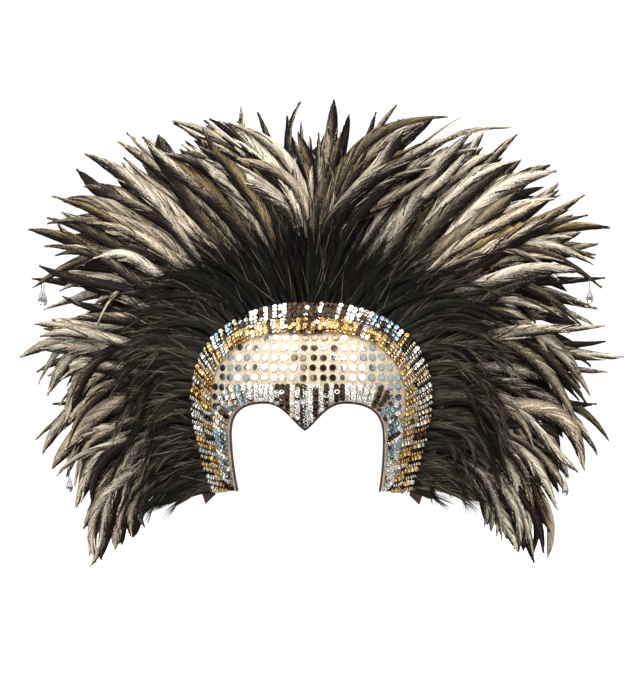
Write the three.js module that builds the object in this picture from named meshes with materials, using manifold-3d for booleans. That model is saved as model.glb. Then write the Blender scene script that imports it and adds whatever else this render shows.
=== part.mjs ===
// A feathered show headdress, in millimetres: a stiff bonnet with a heart-shaped face edge and two
// cheek pieces, covered in front with sequinned cloth and edged with strung-sequin trims, and carrying
// a fan of short dark hackle feathers in front of a wide fan of long metallic tail feathers.
// The wearer faces -Y, +X is to the right in the front view and +Z is up. The origin is the inside
// top of the bonnet, where it sits on the crown of the head.
import * as THREE from "three";
import { mergeVertices } from "three/addons/utils/BufferGeometryUtils.js";
import Module from "manifold-3d";

const wasm = await Module();
wasm.setup();

// Bonnet, outer sizes
const CAP_HALF_WIDTH = 106;
const CAP_HALF_LENGTH = 100;
const CAP_RISE = 84;
const CAP_WALL = 3;
const SECTION_POWER = 2.3;
const RISE_POWER = 2.35;
const CHEEK_DROP = 77;
const CHEEK_TAPER = 0.15;
const TAPER_POWER = 1.4;
const CHEEK_REAR_SETBACK = 18;
const HEM_DROP = 1;
const HEM_CORNER_RADIUS = 20;

// Face edge, in the front view
const FACE_HALF_WIDTH_LOW = 60;
const FACE_HALF_WIDTH_HIGH = 64.5;
const FACE_SHOULDER_DROP = 27;
const ARCH_HALF_SPACING = 34;
const ARCH_DROP = 2;
const PEAK_DROP = 25;
const BINDING_WIDTH = 3;
const BINDING_PROUD = 0.8;

// Cloth and trims
const FIT_GAP = 0.3;
const CLOTH_THICKNESS = 1;
const TRIM_HEIGHT = 5.2;
const TRIM_GROOVE = 0.45;
const TRIM_EDGE = 0.6;
const TRIM_PITCH = 9;
const SILVER_RIM_WIDTH = 12.5;
const GOLD_RIM_WIDTH = 9.5;
const RIM_TRIM_LOW_SHARE = 0.6;
const BROW_TRIM_WIDTH = 13;
const BROW_TRIM_LINE_RISE = 12;

// Fan
const RIM_SETBACK = 45;
const BAR_HEIGHT = 9;
const HACKLE_BAR_DEPTH = 6;
const TAPE_DEPTH = 2.4;
const TAPE_HEIGHT = 12;
const COQUE_LAYER_DEPTH = 3.2;
const RIM_END_DEG = 131;
const TAPE_END_DEG = 134;
const FAN_REACH = 261;
const FEATHER_WIDTH = 21;
const FEATHER_THICKNESS = 1.6;
const HACKLE_REACH = 166;
const HACKLE_WIDTH = 21;
const HACKLE_THICKNESS = 1.1;
const HACKLE_STEP_DEG = 6.5;
const HACKLE_LAYERS = 4;
const HACKLE_DROOP_DEG = 9;
const HACKLE_ARCH = 0.16;
const HACKLE_LEAN_DEG = 4;
const HACKLE_UNEVENNESS = 0.05;

const RING_POINTS = 40;
const DOME_LEVELS = 8;
const DEGREE = Math.PI / 180;
const WIDEST_Z = CAP_WALL - CAP_RISE;
const CHEEK_Z = WIDEST_Z - CHEEK_DROP;
const RIM_Y = -RIM_SETBACK;
const SILVER_RIM_OUTSIDE = 2 * FIT_GAP;
const GOLD_RIM_OUTSIDE = SILVER_RIM_OUTSIDE + SILVER_RIM_WIDTH + 2 * FIT_GAP;
const GOLD_RIM_INSIDE = GOLD_RIM_OUTSIDE + GOLD_RIM_WIDTH;

// Each row is one long tail feather of the left half, mirrored to the right. root and tip are degrees
// round the face centre from straight up, reach and width are shares of FAN_REACH and FEATHER_WIDTH,
// arch is how far the feather bows upwards, as a share of its length, and row is its layer from the front.
const COQUE_COLUMNS = ["root", "tip", "reach", "width", "arch", "row"];
const COQUE = {
  crest: [
    [1, 3.5, 1.0, 0.7, 0.02, 1],
    [2, 6.5, 0.96, 0.7, 0.02, 2],
    [4, 11.5, 0.98, 0.6, 0.04, 1],
    [6, 15, 1.02, 0.6, 0.05, 2],
    [3, 21, 0.89, 1.1, 0.16, 0],
    [6, 17.5, 0.8, 0.8, 0.1, 0],
    [5, 19.5, 0.93, 0.9, 0.14, 1],
    [9, 22.5, 1.02, 1.0, 0.12, 2],
  ],
  shoulder: [
    [13, 25.5, 0.87, 0.9, 0.12, 3],
    [15, 27, 0.95, 1.0, 0.1, 4],
    [20, 31.5, 1.05, 1.2, 0.05, 3],
    [26, 36.5, 1.11, 0.7, 0.03, 5],
    [29, 37, 1.02, 1.1, 0.04, 4],
    [31, 40, 1.05, 1.2, 0.04, 3],
    [35, 42.5, 1.04, 0.8, 0.05, 5],
    [38, 48, 1.08, 1.2, 0.05, 4],
  ],
  side: [
    [43, 52.5, 1.12, 1.0, 0.05, 1],
    [45, 54, 1.05, 0.7, 0.06, 2],
    [49, 56, 1.09, 0.7, 0.05, 0],
    [51, 59.5, 1.13, 1.0, 0.06, 1],
    [53, 61, 1.07, 0.8, 0.08, 2],
    [46, 68.5, 1.02, 0.7, 0.25, 0],
    [58, 67, 1.04, 0.6, 0.12, 1],
    [58, 72, 0.98, 1.1, 0.2, 2],
  ],
  flank: [
    [70, 78.5, 0.98, 0.6, 0.06, 5],
    [72, 82, 1.03, 1.0, 0.07, 4],
    [76, 84.5, 0.97, 0.7, 0.08, 5],
    [64, 89, 0.91, 1.2, 0.27, 3],
    [72, 88, 0.85, 1.1, 0.22, 4],
    [86, 91, 0.91, 0.6, 0.08, 5],
    [86, 98, 0.98, 0.6, 0.1, 5],
    [82, 101, 0.95, 1.0, 0.18, 3],
  ],
  tail: [
    [88, 104.5, 0.92, 1.1, 0.16, 0],
    [90, 107, 0.88, 1.2, 0.18, 1],
    [96, 110.5, 0.86, 0.9, 0.16, 2],
    [98, 114, 0.88, 1.1, 0.18, 0],
    [104, 119, 0.89, 1.1, 0.2, 1],
    [106, 124.5, 0.93, 1.2, 0.22, 2],
    [112, 127, 0.9, 1.1, 0.2, 0],
    [118, 129, 0.84, 1.1, 0.14, 1],
  ],
};
const COQUE_LEAN_DEG = 8;
const COQUE_LEAN_STEP_DEG = 2.2;

// Closed mesh from equal closed sections; each section is a list of points, the first and last are capped.
function sweep(sections) {
  const count = sections[0].length;
  const corners = sections.flat().flatMap((p) => [p.x, p.y, p.z]);
  const faces = [];
  for (let i = 0; i + 1 < sections.length; i++) {
    for (let j = 0; j < count; j++) {
      const a = i * count + j;
      const b = i * count + ((j + 1) % count);
      faces.push(a, b, b + count, a, b + count, a + count);
    }
  }
  const last = (sections.length - 1) * count;
  for (let j = 1; j + 1 < count; j++) {
    faces.push(0, j + 1, j, last, last + j, last + j + 1);
  }
  return closedGeometry(corners, faces);
}

// Geometry from corner numbers and faces, turned so that its faces point out.
function closedGeometry(corners, faces) {
  let volume = 0;
  const at = (i) => new THREE.Vector3(corners[3 * i], corners[3 * i + 1], corners[3 * i + 2]);
  for (let i = 0; i < faces.length; i += 3) {
    volume += at(faces[i]).dot(at(faces[i + 1]).cross(at(faces[i + 2])));
  }
  if (volume < 0) {
    faces.reverse();
  }
  const geometry = new THREE.BufferGeometry();
  geometry.setAttribute("position", new THREE.Float32BufferAttribute(corners, 3));
  geometry.setIndex(faces);
  return geometry;
}

function solid(geometry) {
  const bare = geometry.clone();
  bare.deleteAttribute("normal");
  bare.deleteAttribute("uv");
  const merged = mergeVertices(bare, 1e-4);
  return new wasm.Manifold(
    new wasm.Mesh({
      numProp: 3,
      vertProperties: new Float32Array(merged.attributes.position.array),
      triVerts: new Uint32Array(merged.index.array),
    }),
  );
}

function meshOf(name, manifold, material) {
  const made = manifold.getMesh();
  const geometry = new THREE.BufferGeometry();
  geometry.setAttribute("position", new THREE.BufferAttribute(made.vertProperties, 3));
  geometry.setIndex(new THREE.BufferAttribute(made.triVerts, 1));
  const mesh = new THREE.Mesh(geometry.toNonIndexed(), material);
  mesh.geometry.computeVertexNormals();
  mesh.name = name;
  return mesh;
}

// Share of the widest section that is left at height z, on the surface grown outwards by grow.
function sectionShare(z, grow) {
  if (z < WIDEST_Z) {
    return 1 - CHEEK_TAPER * ((WIDEST_Z - z) / CHEEK_DROP) ** TAPER_POWER;
  }
  const rise = Math.min(1, (z - WIDEST_Z) / (CAP_RISE + grow));
  return (1 - rise ** RISE_POWER) ** (1 / RISE_POWER);
}

// Front of the bonnet's surface at (x, z), grown outwards by grow.
function frontY(x, z, grow = 0) {
  const share = sectionShare(z, grow);
  const across = Math.min(1, Math.abs(x) / ((CAP_HALF_WIDTH + grow) * share));
  return -(CAP_HALF_LENGTH + grow) * share * (1 - across ** SECTION_POWER) ** (1 / SECTION_POWER);
}

// Point of the front surface seen at (x, z) in the front view, carried out to the surface grown by height.
function onFront(x, z, height) {
  const rise = z > WIDEST_Z ? (CAP_RISE + height) / CAP_RISE : 1;
  return new THREE.Vector3(
    (x * (CAP_HALF_WIDTH + height)) / CAP_HALF_WIDTH,
    (frontY(x, z) * (CAP_HALF_LENGTH + height)) / CAP_HALF_LENGTH,
    WIDEST_Z + (z - WIDEST_Z) * rise,
  );
}

// The whole bonnet form as one closed solid, grown outwards by grow.
function domeSolid(grow) {
  const levels = [];
  for (let i = 1; i <= DOME_LEVELS; i++) {
    const turn = (Math.PI / 2) * (1 - i / DOME_LEVELS);
    levels.push(WIDEST_Z + (CAP_RISE + grow) * Math.sin(turn) ** (2 / RISE_POWER));
  }
  const lowSteps = 3;
  for (let i = 1; i <= lowSteps; i++) {
    levels.push(WIDEST_Z - (i / lowSteps) * (CHEEK_DROP + CAP_WALL));
  }
  const corners = [0, 0, WIDEST_Z + CAP_RISE + grow];
  for (const z of levels) {
    const share = sectionShare(z, grow);
    for (let j = 0; j < RING_POINTS; j++) {
      const turn = (2 * Math.PI * j) / RING_POINTS;
      const sine = Math.sin(turn);
      const cosine = Math.cos(turn);
      corners.push(
        (CAP_HALF_WIDTH + grow) * share * Math.sign(sine) * Math.abs(sine) ** (2 / SECTION_POWER),
        -(CAP_HALF_LENGTH + grow) * share * Math.sign(cosine) * Math.abs(cosine) ** (2 / SECTION_POWER),
        z,
      );
    }
  }
  corners.push(0, 0, levels.at(-1));
  const base = corners.length / 3 - 1;
  const faces = [];
  for (let j = 0; j < RING_POINTS; j++) {
    const next = (j + 1) % RING_POINTS;
    faces.push(0, 1 + j, 1 + next);
    for (let i = 0; i + 1 < levels.length; i++) {
      const a = 1 + i * RING_POINTS + j;
      const b = 1 + i * RING_POINTS + next;
      faces.push(a, a + RING_POINTS, b + RING_POINTS, a, b + RING_POINTS, b);
    }
    faces.push(base, base - RING_POINTS + next, base - RING_POINTS + j);
  }
  return solid(closedGeometry(corners, faces));
}

// Right half of the face edge from the cheek's bottom to the peak, each point moved out into the cloth
// by inset, measured square to the edge in the front view.
function faceEdgeHalf(inset) {
  const archZ = WIDEST_Z - ARCH_DROP;
  const shoulderZ = archZ - FACE_SHOULDER_DROP;
  const peakZ = archZ - (PEAK_DROP - ARCH_DROP);
  const path = new THREE.CurvePath();
  const low = new THREE.Vector2(FACE_HALF_WIDTH_LOW, CHEEK_Z);
  const side = new THREE.Vector2(FACE_HALF_WIDTH_HIGH, shoulderZ);
  const arch = new THREE.Vector2(ARCH_HALF_SPACING, archZ);
  const peak = new THREE.Vector2(0, peakZ);
  const bow = new THREE.Vector2(FACE_HALF_WIDTH_HIGH, (CHEEK_Z + shoulderZ) / 2);
  const overShoulder = new THREE.Vector2(FACE_HALF_WIDTH_HIGH, shoulderZ + 0.75 * FACE_SHOULDER_DROP);
  const besideArch = new THREE.Vector2(ARCH_HALF_SPACING + 0.62 * (side.x - arch.x), archZ);
  const pastArch = new THREE.Vector2(ARCH_HALF_SPACING * 0.52, archZ);
  const abovePeak = new THREE.Vector2(ARCH_HALF_SPACING * 0.3, archZ + 0.72 * (peakZ - archZ));
  path.add(new THREE.QuadraticBezierCurve(low, bow, side));
  path.add(new THREE.CubicBezierCurve(side, overShoulder, besideArch, arch));
  path.add(new THREE.CubicBezierCurve(arch, pastArch, abovePeak, peak));
  const steps = [4, 7, 8];
  const points = [];
  path.curves.forEach((curve, c) => {
    for (let i = 0; i < steps[c]; i++) {
      points.push([curve.getPoint(i / steps[c]), curve.getTangent(i / steps[c])]);
    }
  });
  const moved = points.map(([p, t]) => new THREE.Vector2(p.x + inset * t.y, p.y - inset * t.x));
  moved[0].y = CHEEK_Z;
  return [...moved, new THREE.Vector2(0, peakZ + 1.5 * inset)];
}

// The whole face edge, from the left cheek's bottom over the brow to the right cheek's bottom.
function faceEdge(inset) {
  const half = faceEdgeHalf(inset);
  const left = half.map((p) => new THREE.Vector2(-p.x, p.y));
  return [...left, ...half.slice(0, -1).reverse()];
}

// Prism through the front of the bonnet that opens the face, its edge moved into the cloth by inset.
function faceCutter(inset) {
  const edge = faceEdge(inset);
  const below = CHEEK_Z - 4 * CAP_WALL;
  const outline = [
    new THREE.Vector2(edge[0].x, below),
    ...edge,
    new THREE.Vector2(edge.at(-1).x, below),
  ];
  const prism = new THREE.ExtrudeGeometry(new THREE.Shape(outline), {
    depth: 1.5 * CAP_HALF_LENGTH,
    bevelEnabled: false,
  });
  prism.rotateX(Math.PI / 2);
  return solid(prism);
}

// Prism across the bonnet that takes away what lies below the cheek bottoms and the rear hem.
function hemCutter() {
  const far = 2 * CAP_HALF_LENGTH;
  const hemZ = WIDEST_Z - HEM_DROP;
  const rear = -CHEEK_REAR_SETBACK;
  const outline = new THREE.Shape();
  outline.moveTo(-far, CHEEK_Z);
  outline.lineTo(rear, CHEEK_Z);
  outline.lineTo(rear, hemZ - HEM_CORNER_RADIUS);
  outline.absarc(rear + HEM_CORNER_RADIUS, hemZ - HEM_CORNER_RADIUS, HEM_CORNER_RADIUS, Math.PI, Math.PI / 2, true);
  outline.lineTo(far, hemZ);
  outline.lineTo(far, CHEEK_Z - far);
  outline.lineTo(-far, CHEEK_Z - far);
  outline.closePath();
  const prism = new THREE.ExtrudeGeometry(outline, { depth: 2 * far, bevelEnabled: false, curveSegments: 5 });
  // The outline's x becomes Y, its y becomes Z, and the prism runs along X.
  prism.applyMatrix4(new THREE.Matrix4().set(0, 0, 1, -far, 1, 0, 0, 0, 0, 1, 0, 0, 0, 0, 0, 1));
  return solid(prism);
}

function frontHalf(backY) {
  const far = 2 * CAP_HALF_LENGTH;
  const box = new THREE.BoxGeometry(2 * far, far, 2 * far);
  box.translate(0, backY - far / 2, CHEEK_Z + far);
  return solid(box);
}

function bonnetShell() {
  return domeSolid(0)
    .subtract(domeSolid(-CAP_WALL))
    .subtract(hemCutter())
    .subtract(faceCutter(BINDING_WIDTH + FIT_GAP));
}

function sequinCloth() {
  return domeSolid(FIT_GAP + CLOTH_THICKNESS)
    .subtract(domeSolid(FIT_GAP))
    .intersect(frontHalf(RIM_Y))
    .subtract(faceCutter(BINDING_WIDTH + FIT_GAP));
}

function faceBinding() {
  const edge = faceEdge(0);
  const seam = faceEdge(BINDING_WIDTH);
  const outside = FIT_GAP + CLOTH_THICKNESS + BINDING_PROUD;
  const inside = -CAP_WALL - BINDING_PROUD;
  const at = (p, grow) => new THREE.Vector3(p.x, frontY(p.x, p.y, grow), p.y);
  return sweep(
    edge.map((p, i) => [at(p, outside), at(seam[i], outside), at(seam[i], inside), at(p, inside)]),
  );
}

// Front-view radius, round the widest level's centre, at which the bonnet's surface meets the plane y.
function rimRadius(deg, y) {
  const sine = Math.sin(deg * DEGREE);
  const cosine = Math.cos(deg * DEGREE);
  let low = 0;
  let high = 2 * CAP_HALF_WIDTH;
  for (let i = 0; i < 40; i++) {
    const middle = (low + high) / 2;
    const inside = frontY(middle * sine, WIDEST_Z + middle * cosine) < y;
    [low, high] = inside ? [middle, high] : [low, middle];
  }
  return low;
}

function polar(deg, radius) {
  return new THREE.Vector2(radius * Math.sin(deg * DEGREE), WIDEST_Z + radius * Math.cos(deg * DEGREE));
}

// A band of strung sequins on the cloth, one rib for each string. edges lists the band's two front-view
// edge points for each section, and across the shares of its width at which its surface is bent.
function ribbedBand(edges, across) {
  const bed = 2 * FIT_GAP + CLOTH_THICKNESS;
  const sections = edges.map(([p, q], i) => {
    const height = TRIM_HEIGHT * (i % 2 ? 1 : TRIM_GROOVE);
    const at = (share, up) => onFront(p.x + share * (q.x - p.x), p.y + share * (q.y - p.y), bed + up);
    const under = across.map((share) => at(share, 0));
    const over = across.map((share) => at(share, height * (share > 0 && share < 1 ? 1 : TRIM_EDGE)));
    return [...under, ...over.reverse()];
  });
  return sweep(sections);
}

// Front-view radius that lies inside the rim by inside, a distance that shrinks towards the cheek bottoms.
function rimInset(deg, inside) {
  const share = 1 - (1 - RIM_TRIM_LOW_SHARE) * (Math.abs(deg) / RIM_END_DEG);
  return rimRadius(Math.abs(deg), RIM_Y) - inside * share;
}

// A trim along the rim: outer and inner are its edges, as distances inside the rim at its top.
function rimTrim(outer, inner) {
  const endDeg = RIM_END_DEG - 3;
  const ribs = Math.round((2 * endDeg * DEGREE * CAP_HALF_WIDTH) / TRIM_PITCH);
  const edges = [];
  for (let i = 0; i <= 2 * ribs; i++) {
    const deg = endDeg * (i / ribs - 1);
    const pair = [polar(deg, rimInset(deg, inner)), polar(deg, rimInset(deg, outer))];
    edges.push(pair.map((p) => new THREE.Vector2(p.x, Math.max(p.y, CHEEK_Z + FIT_GAP))));
  }
  return ribbedBand(edges, [0, 0.5, 1]);
}

// The trim beside the face edge: a band of even width up the cheeks that widens over the peak.
function browTrim() {
  const nearInset = BINDING_WIDTH + 2 * FIT_GAP;
  const near = faceEdge(nearInset);
  const far = faceEdge(nearInset + BROW_TRIM_WIDTH);
  const edges = near.map((p, i) => {
    const q = far[i].clone();
    if (p.y > WIDEST_Z - ARCH_DROP - FACE_SHOULDER_DROP && Math.abs(p.x) < ARCH_HALF_SPACING) {
      q.set(p.x, Math.max(q.y, WIDEST_Z + BROW_TRIM_LINE_RISE));
    }
    const deg = Math.atan2(q.x, q.y - WIDEST_Z) / DEGREE;
    const reach = q.distanceTo(new THREE.Vector2(0, WIDEST_Z));
    const limit = rimInset(deg, GOLD_RIM_INSIDE) - 2 * FIT_GAP;
    return [p, reach > limit ? polar(deg, limit) : q];
  });
  return ribbedBand(edges, [0, 0.25, 0.5, 0.75, 1]);
}

// A bar that follows the rim between the planes frontPlane and rearPlane, standing height off the bonnet.
function rimBar(frontPlane, rearPlane, height, fromDeg, toDeg) {
  const steps = Math.max(3, Math.round(Math.abs(toDeg - fromDeg) / 7));
  const sections = [];
  for (let i = 0; i <= steps; i++) {
    const deg = fromDeg + ((toDeg - fromDeg) * i) / steps;
    const foot = rimRadius(Math.abs(deg), rearPlane) + 2 * FIT_GAP;
    const low = polar(deg, foot);
    const high = polar(deg, foot + height);
    sections.push([
      new THREE.Vector3(low.x, frontPlane, low.y),
      new THREE.Vector3(high.x, frontPlane, high.y),
      new THREE.Vector3(high.x, rearPlane, high.y),
      new THREE.Vector3(low.x, rearPlane, low.y),
    ]);
  }
  return sweep(sections);
}

// One flat leaf-shaped feather. Its line is a curve in the front view from the rim to the tip, laid on a
// cone that leans back from the plane y; arch bows it upwards. outline lists [share of length, share of width].
function feather(shape, outline) {
  const side = Math.sign(shape.tip) || 1;
  const start = polar(shape.root, shape.foot);
  const end = polar(shape.tip, shape.reach);
  const chord = end.clone().sub(start);
  const up = new THREE.Vector2(-chord.y, chord.x).multiplyScalar(side);
  const control = start.clone().add(end).multiplyScalar(0.5).addScaledVector(up, 2 * shape.arch);
  const curve = new THREE.QuadraticBezierCurve(start, control, end);
  const centre = new THREE.Vector2(0, WIDEST_Z);
  const back = (p) => shape.y + Math.tan(shape.lean * DEGREE) * Math.max(0, p.distanceTo(centre) - shape.foot);
  return sweep(
    outline.map(([share, width]) => {
      const middle = curve.getPoint(share);
      const along = curve.getTangent(share);
      const half = (width * shape.width) / 2;
      const left = new THREE.Vector2(middle.x - along.y * half, middle.y + along.x * half);
      const right = new THREE.Vector2(middle.x + along.y * half, middle.y - along.x * half);
      const thick = (shape.thickness / 2) * Math.min(1, 0.35 + width);
      return [
        new THREE.Vector3(left.x, back(left), left.y),
        new THREE.Vector3(middle.x, back(middle) - thick, middle.y),
        new THREE.Vector3(right.x, back(right), right.y),
        new THREE.Vector3(middle.x, back(middle) + thick, middle.y),
      ];
    }),
  );
}

const COQUE_OUTLINE = [
  [0, 0.28],
  [0.35, 0.92],
  [0.65, 1],
  [0.88, 0.56],
  [1, 0.03],
];
const HACKLE_OUTLINE = [
  [0, 0.5],
  [0.45, 1],
  [0.8, 0.8],
  [1, 0.08],
];

const TAPE_FRONT = RIM_Y + HACKLE_BAR_DEPTH + 2 * FIT_GAP;
const COQUE_FRONT = TAPE_FRONT + TAPE_DEPTH + FIT_GAP;
const COQUE_SETS = Object.keys(COQUE);
const COQUE_ROWS = 3;
const COQUE_BAR_DEPTH = COQUE_ROWS * COQUE_LAYER_DEPTH;

// One set of long feathers on its own stitched bar, on the sides given. Sets lie alternately in front and
// behind, so that the feathers of one cross over those of the next without touching.
function coqueSet(name, sides) {
  const feathers = COQUE[name].map((numbers) =>
    Object.fromEntries(numbers.map((number, i) => [COQUE_COLUMNS[i], number])),
  );
  const roots = feathers.map((f) => f.root);
  const behind = COQUE_SETS.indexOf(name) % 2;
  const front = COQUE_FRONT + behind * (COQUE_BAR_DEPTH + FIT_GAP);
  const rear = front + COQUE_BAR_DEPTH;
  const high = Math.max(...roots) + 1;
  const low = sides.length > 1 ? -high : Math.min(...roots) - 1;
  let made = solid(rimBar(front, rear, BAR_HEIGHT, sides[0] * low, sides[0] * high));
  for (const side of sides) {
    for (const f of feathers) {
      const layer = f.row - behind * COQUE_ROWS;
      const shape = {
        root: side * f.root,
        tip: side * f.tip,
        foot: rimRadius(f.root, rear) + 0.6 * BAR_HEIGHT,
        reach: f.reach * FAN_REACH,
        width: f.width * FEATHER_WIDTH,
        thickness: FEATHER_THICKNESS,
        arch: f.arch,
        y: front + (layer + 0.5) * COQUE_LAYER_DEPTH,
        lean: COQUE_LEAN_DEG + COQUE_LEAN_STEP_DEG * f.row,
      };
      made = made.add(solid(feather(shape, COQUE_OUTLINE)));
    }
  }
  return made;
}

// One set of short dark hackles on its own stitched bar, in front of the tape. The feathers lie in thin
// layers: every other feather of a set, and every other set, has a layer of its own.
function hackleSet(fromDeg, toDeg, setNumber) {
  const rear = RIM_Y + HACKLE_BAR_DEPTH;
  let made = solid(rimBar(RIM_Y + FIT_GAP, rear, BAR_HEIGHT, fromDeg, toDeg));
  const count = Math.round(Math.abs(toDeg - fromDeg) / HACKLE_STEP_DEG);
  for (let i = 0; i < count; i++) {
    const root = fromDeg + ((i + 0.5) * (toDeg - fromDeg)) / count;
    const droop = Math.sin(Math.min(Math.abs(root), 110) * DEGREE);
    const layer = (setNumber % 2) * 2 + (i % 2);
    const shape = {
      root,
      tip: root + Math.sign(root) * HACKLE_DROOP_DEG * droop,
      foot: rimRadius(Math.abs(root), rear) + 0.5 * BAR_HEIGHT,
      reach: HACKLE_REACH * (1 + HACKLE_UNEVENNESS * Math.cos(root * 5 * DEGREE)),
      width: HACKLE_WIDTH,
      thickness: HACKLE_THICKNESS,
      arch: HACKLE_ARCH * droop,
      y: RIM_Y + FIT_GAP + ((layer + 0.5) * (HACKLE_BAR_DEPTH - FIT_GAP)) / HACKLE_LAYERS,
      lean: HACKLE_LEAN_DEG,
    };
    made = made.add(solid(feather(shape, HACKLE_OUTLINE)));
  }
  return made;
}

const finish = (color, roughness, metalness) =>
  new THREE.MeshStandardMaterial({ color, roughness, metalness });
const FELT = finish(0x2a1c17, 0.95, 0);
const BINDING = finish(0x3a1e14, 0.7, 0);
const CLOTH = finish(0xe2cfa8, 0.35, 0.6);
const SILVER = finish(0xc6cdd0, 0.2, 1);
const GOLD = finish(0xc99238, 0.25, 1);
const HACKLE = finish(0x17130f, 0.5, 0);
const COQUE_FINISH = finish(0x9a8f78, 0.35, 0.5);

const headdress = new THREE.Group();
headdress.add(
  meshOf("bonnet_shell", bonnetShell(), FELT),
  meshOf("sequin_cloth", sequinCloth(), CLOTH),
  meshOf("face_binding", solid(faceBinding()), BINDING),
  meshOf("silver_rim_trim", solid(rimTrim(SILVER_RIM_OUTSIDE, SILVER_RIM_OUTSIDE + SILVER_RIM_WIDTH)), SILVER),
  meshOf("gold_rim_trim", solid(rimTrim(GOLD_RIM_OUTSIDE, GOLD_RIM_INSIDE)), GOLD),
  meshOf("brow_trim", solid(browTrim()), SILVER),
  meshOf(
    "feather_tape",
    solid(rimBar(TAPE_FRONT, TAPE_FRONT + TAPE_DEPTH, TAPE_HEIGHT, -TAPE_END_DEG, TAPE_END_DEG)),
    BINDING,
  ),
);

// Hackle sets: one over the crown, then three down each side.
const HACKLE_CREST_DEG = 28;
const HACKLE_SIDE_SETS = 3;
const HACKLE_SET_GAP_DEG = 0.6;
const hackleSpan = (RIM_END_DEG - HACKLE_CREST_DEG) / HACKLE_SIDE_SETS;
headdress.add(
  meshOf("hackle_crest", hackleSet(-HACKLE_CREST_DEG, HACKLE_CREST_DEG, 0), HACKLE),
  meshOf("coque_crest", coqueSet("crest", [1, -1]), COQUE_FINISH),
);
for (const [label, side] of [["left", -1], ["right", 1]]) {
  for (let i = 0; i < HACKLE_SIDE_SETS; i++) {
    const from = HACKLE_CREST_DEG + i * hackleSpan + HACKLE_SET_GAP_DEG;
    const set = hackleSet(side * from, side * (from + hackleSpan - HACKLE_SET_GAP_DEG), i + 1);
    headdress.add(meshOf(`hackle_${label}_${i + 1}`, set, HACKLE));
  }
  for (const name of COQUE_SETS.slice(1)) {
    headdress.add(meshOf(`coque_${label}_${name}`, coqueSet(name, [side]), COQUE_FINISH));
  }
}

export default headdress;
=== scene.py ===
import math

import bpy
import numpy as np
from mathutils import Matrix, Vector


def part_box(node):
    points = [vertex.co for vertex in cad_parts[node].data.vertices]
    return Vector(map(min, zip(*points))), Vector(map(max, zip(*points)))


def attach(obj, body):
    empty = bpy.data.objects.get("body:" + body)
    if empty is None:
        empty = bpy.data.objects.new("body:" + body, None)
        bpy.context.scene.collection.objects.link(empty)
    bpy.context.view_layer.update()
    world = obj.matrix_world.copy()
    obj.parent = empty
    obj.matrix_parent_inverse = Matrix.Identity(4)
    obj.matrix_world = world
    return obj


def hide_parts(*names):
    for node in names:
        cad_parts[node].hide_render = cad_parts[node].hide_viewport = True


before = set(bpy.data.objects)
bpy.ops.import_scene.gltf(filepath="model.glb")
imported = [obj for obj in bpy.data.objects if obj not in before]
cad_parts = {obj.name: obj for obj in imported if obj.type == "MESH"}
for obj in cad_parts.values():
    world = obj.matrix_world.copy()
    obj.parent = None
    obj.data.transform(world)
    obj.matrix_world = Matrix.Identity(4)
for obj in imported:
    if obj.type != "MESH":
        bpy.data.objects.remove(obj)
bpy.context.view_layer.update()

# The place where the headdress is looked at: a pale floor below it, soft light from in front and above,
# and a long lens at the height of the brow, a little to the right of the middle.
FLOOR_DROP = 0.26
FLOOR_HALF = 1.6
FLOOR_PAINT = (0.62, 0.61, 0.60, 1)
CAMERA_AZIMUTH = 5.8
CAMERA_DISTANCE = 3.4
FRAME_WIDTH = 0.5568
SENSOR_WIDTH = 36.0
TARGET = (0.003, 0.0, -0.0374)
# The room as the sequins mirror it: place up the wall from 0 to 1, and grey there
ROOM_LOW = 0.3
ROOM_LOW_COLOUR = (0.30, 0.28, 0.26, 1)
ROOM_HIGH_COLOUR = (0.80, 0.80, 0.80, 1)
ROOM_WALLS = ((0.45, 0.17), (0.85, 0.20))
WALL_WARMTH = (1.22, 1.0, 0.84)
ROOM_STRENGTH = 0.6
BACKDROP_STRENGTH = 1.1

scene = bpy.context.scene
scene.view_settings.view_transform = "Standard"
azimuth = math.radians(CAMERA_AZIMUTH)
camera_data = bpy.data.cameras.new("camera")
camera_data.sensor_fit = "HORIZONTAL"
camera_data.sensor_width = SENSOR_WIDTH
camera_data.lens = SENSOR_WIDTH * CAMERA_DISTANCE / FRAME_WIDTH
camera_data.clip_end = 200.0
camera = bpy.data.objects.new("camera", camera_data)
away = Vector((math.sin(azimuth), -math.cos(azimuth), 0.0))
camera.location = Vector(TARGET) + CAMERA_DISTANCE * away
camera.rotation_euler = (-away).to_track_quat("-Z", "Y").to_euler()
scene.collection.objects.link(camera)
scene.camera = camera

floor_mesh = bpy.data.meshes.new("floor")
floor_corners = [(FLOOR_HALF * x, FLOOR_HALF * y, 0) for x, y in ((-1, -1), (1, -1), (1, 1), (-1, 1))]
floor_mesh.from_pydata(floor_corners, [], [(0, 1, 2, 3)])
floor = bpy.data.objects.new("floor", floor_mesh)
floor.location.z = -FLOOR_DROP
scene.collection.objects.link(floor)


def set_inputs(node, **values):
    """Sets constant inputs of a shader node and returns it. An underscore stands for a space in a name."""
    for name, value in values.items():
        node.inputs[name.replace("_", " ")].default_value = value
    return node


def new_material(name, **values):
    """A material with its nodes, links and Principled shader, and constant inputs set on the shader."""
    material = bpy.data.materials.new(name)
    material.use_nodes = True
    shader = set_inputs(material.node_tree.nodes["Principled BSDF"], **values)
    return material, material.node_tree.nodes, material.node_tree.links, shader


floor_paint, nodes, links, shader = new_material("floor_paint", Base_Color=FLOOR_PAINT, Roughness=0.9)
seen = nodes.new("ShaderNodeLightPath")
shader.inputs["Emission Color"].default_value = (1, 1, 1, 1)
links.new(seen.outputs["Is Camera Ray"], shader.inputs["Emission Strength"])
floor_mesh.materials.append(floor_paint)

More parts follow.
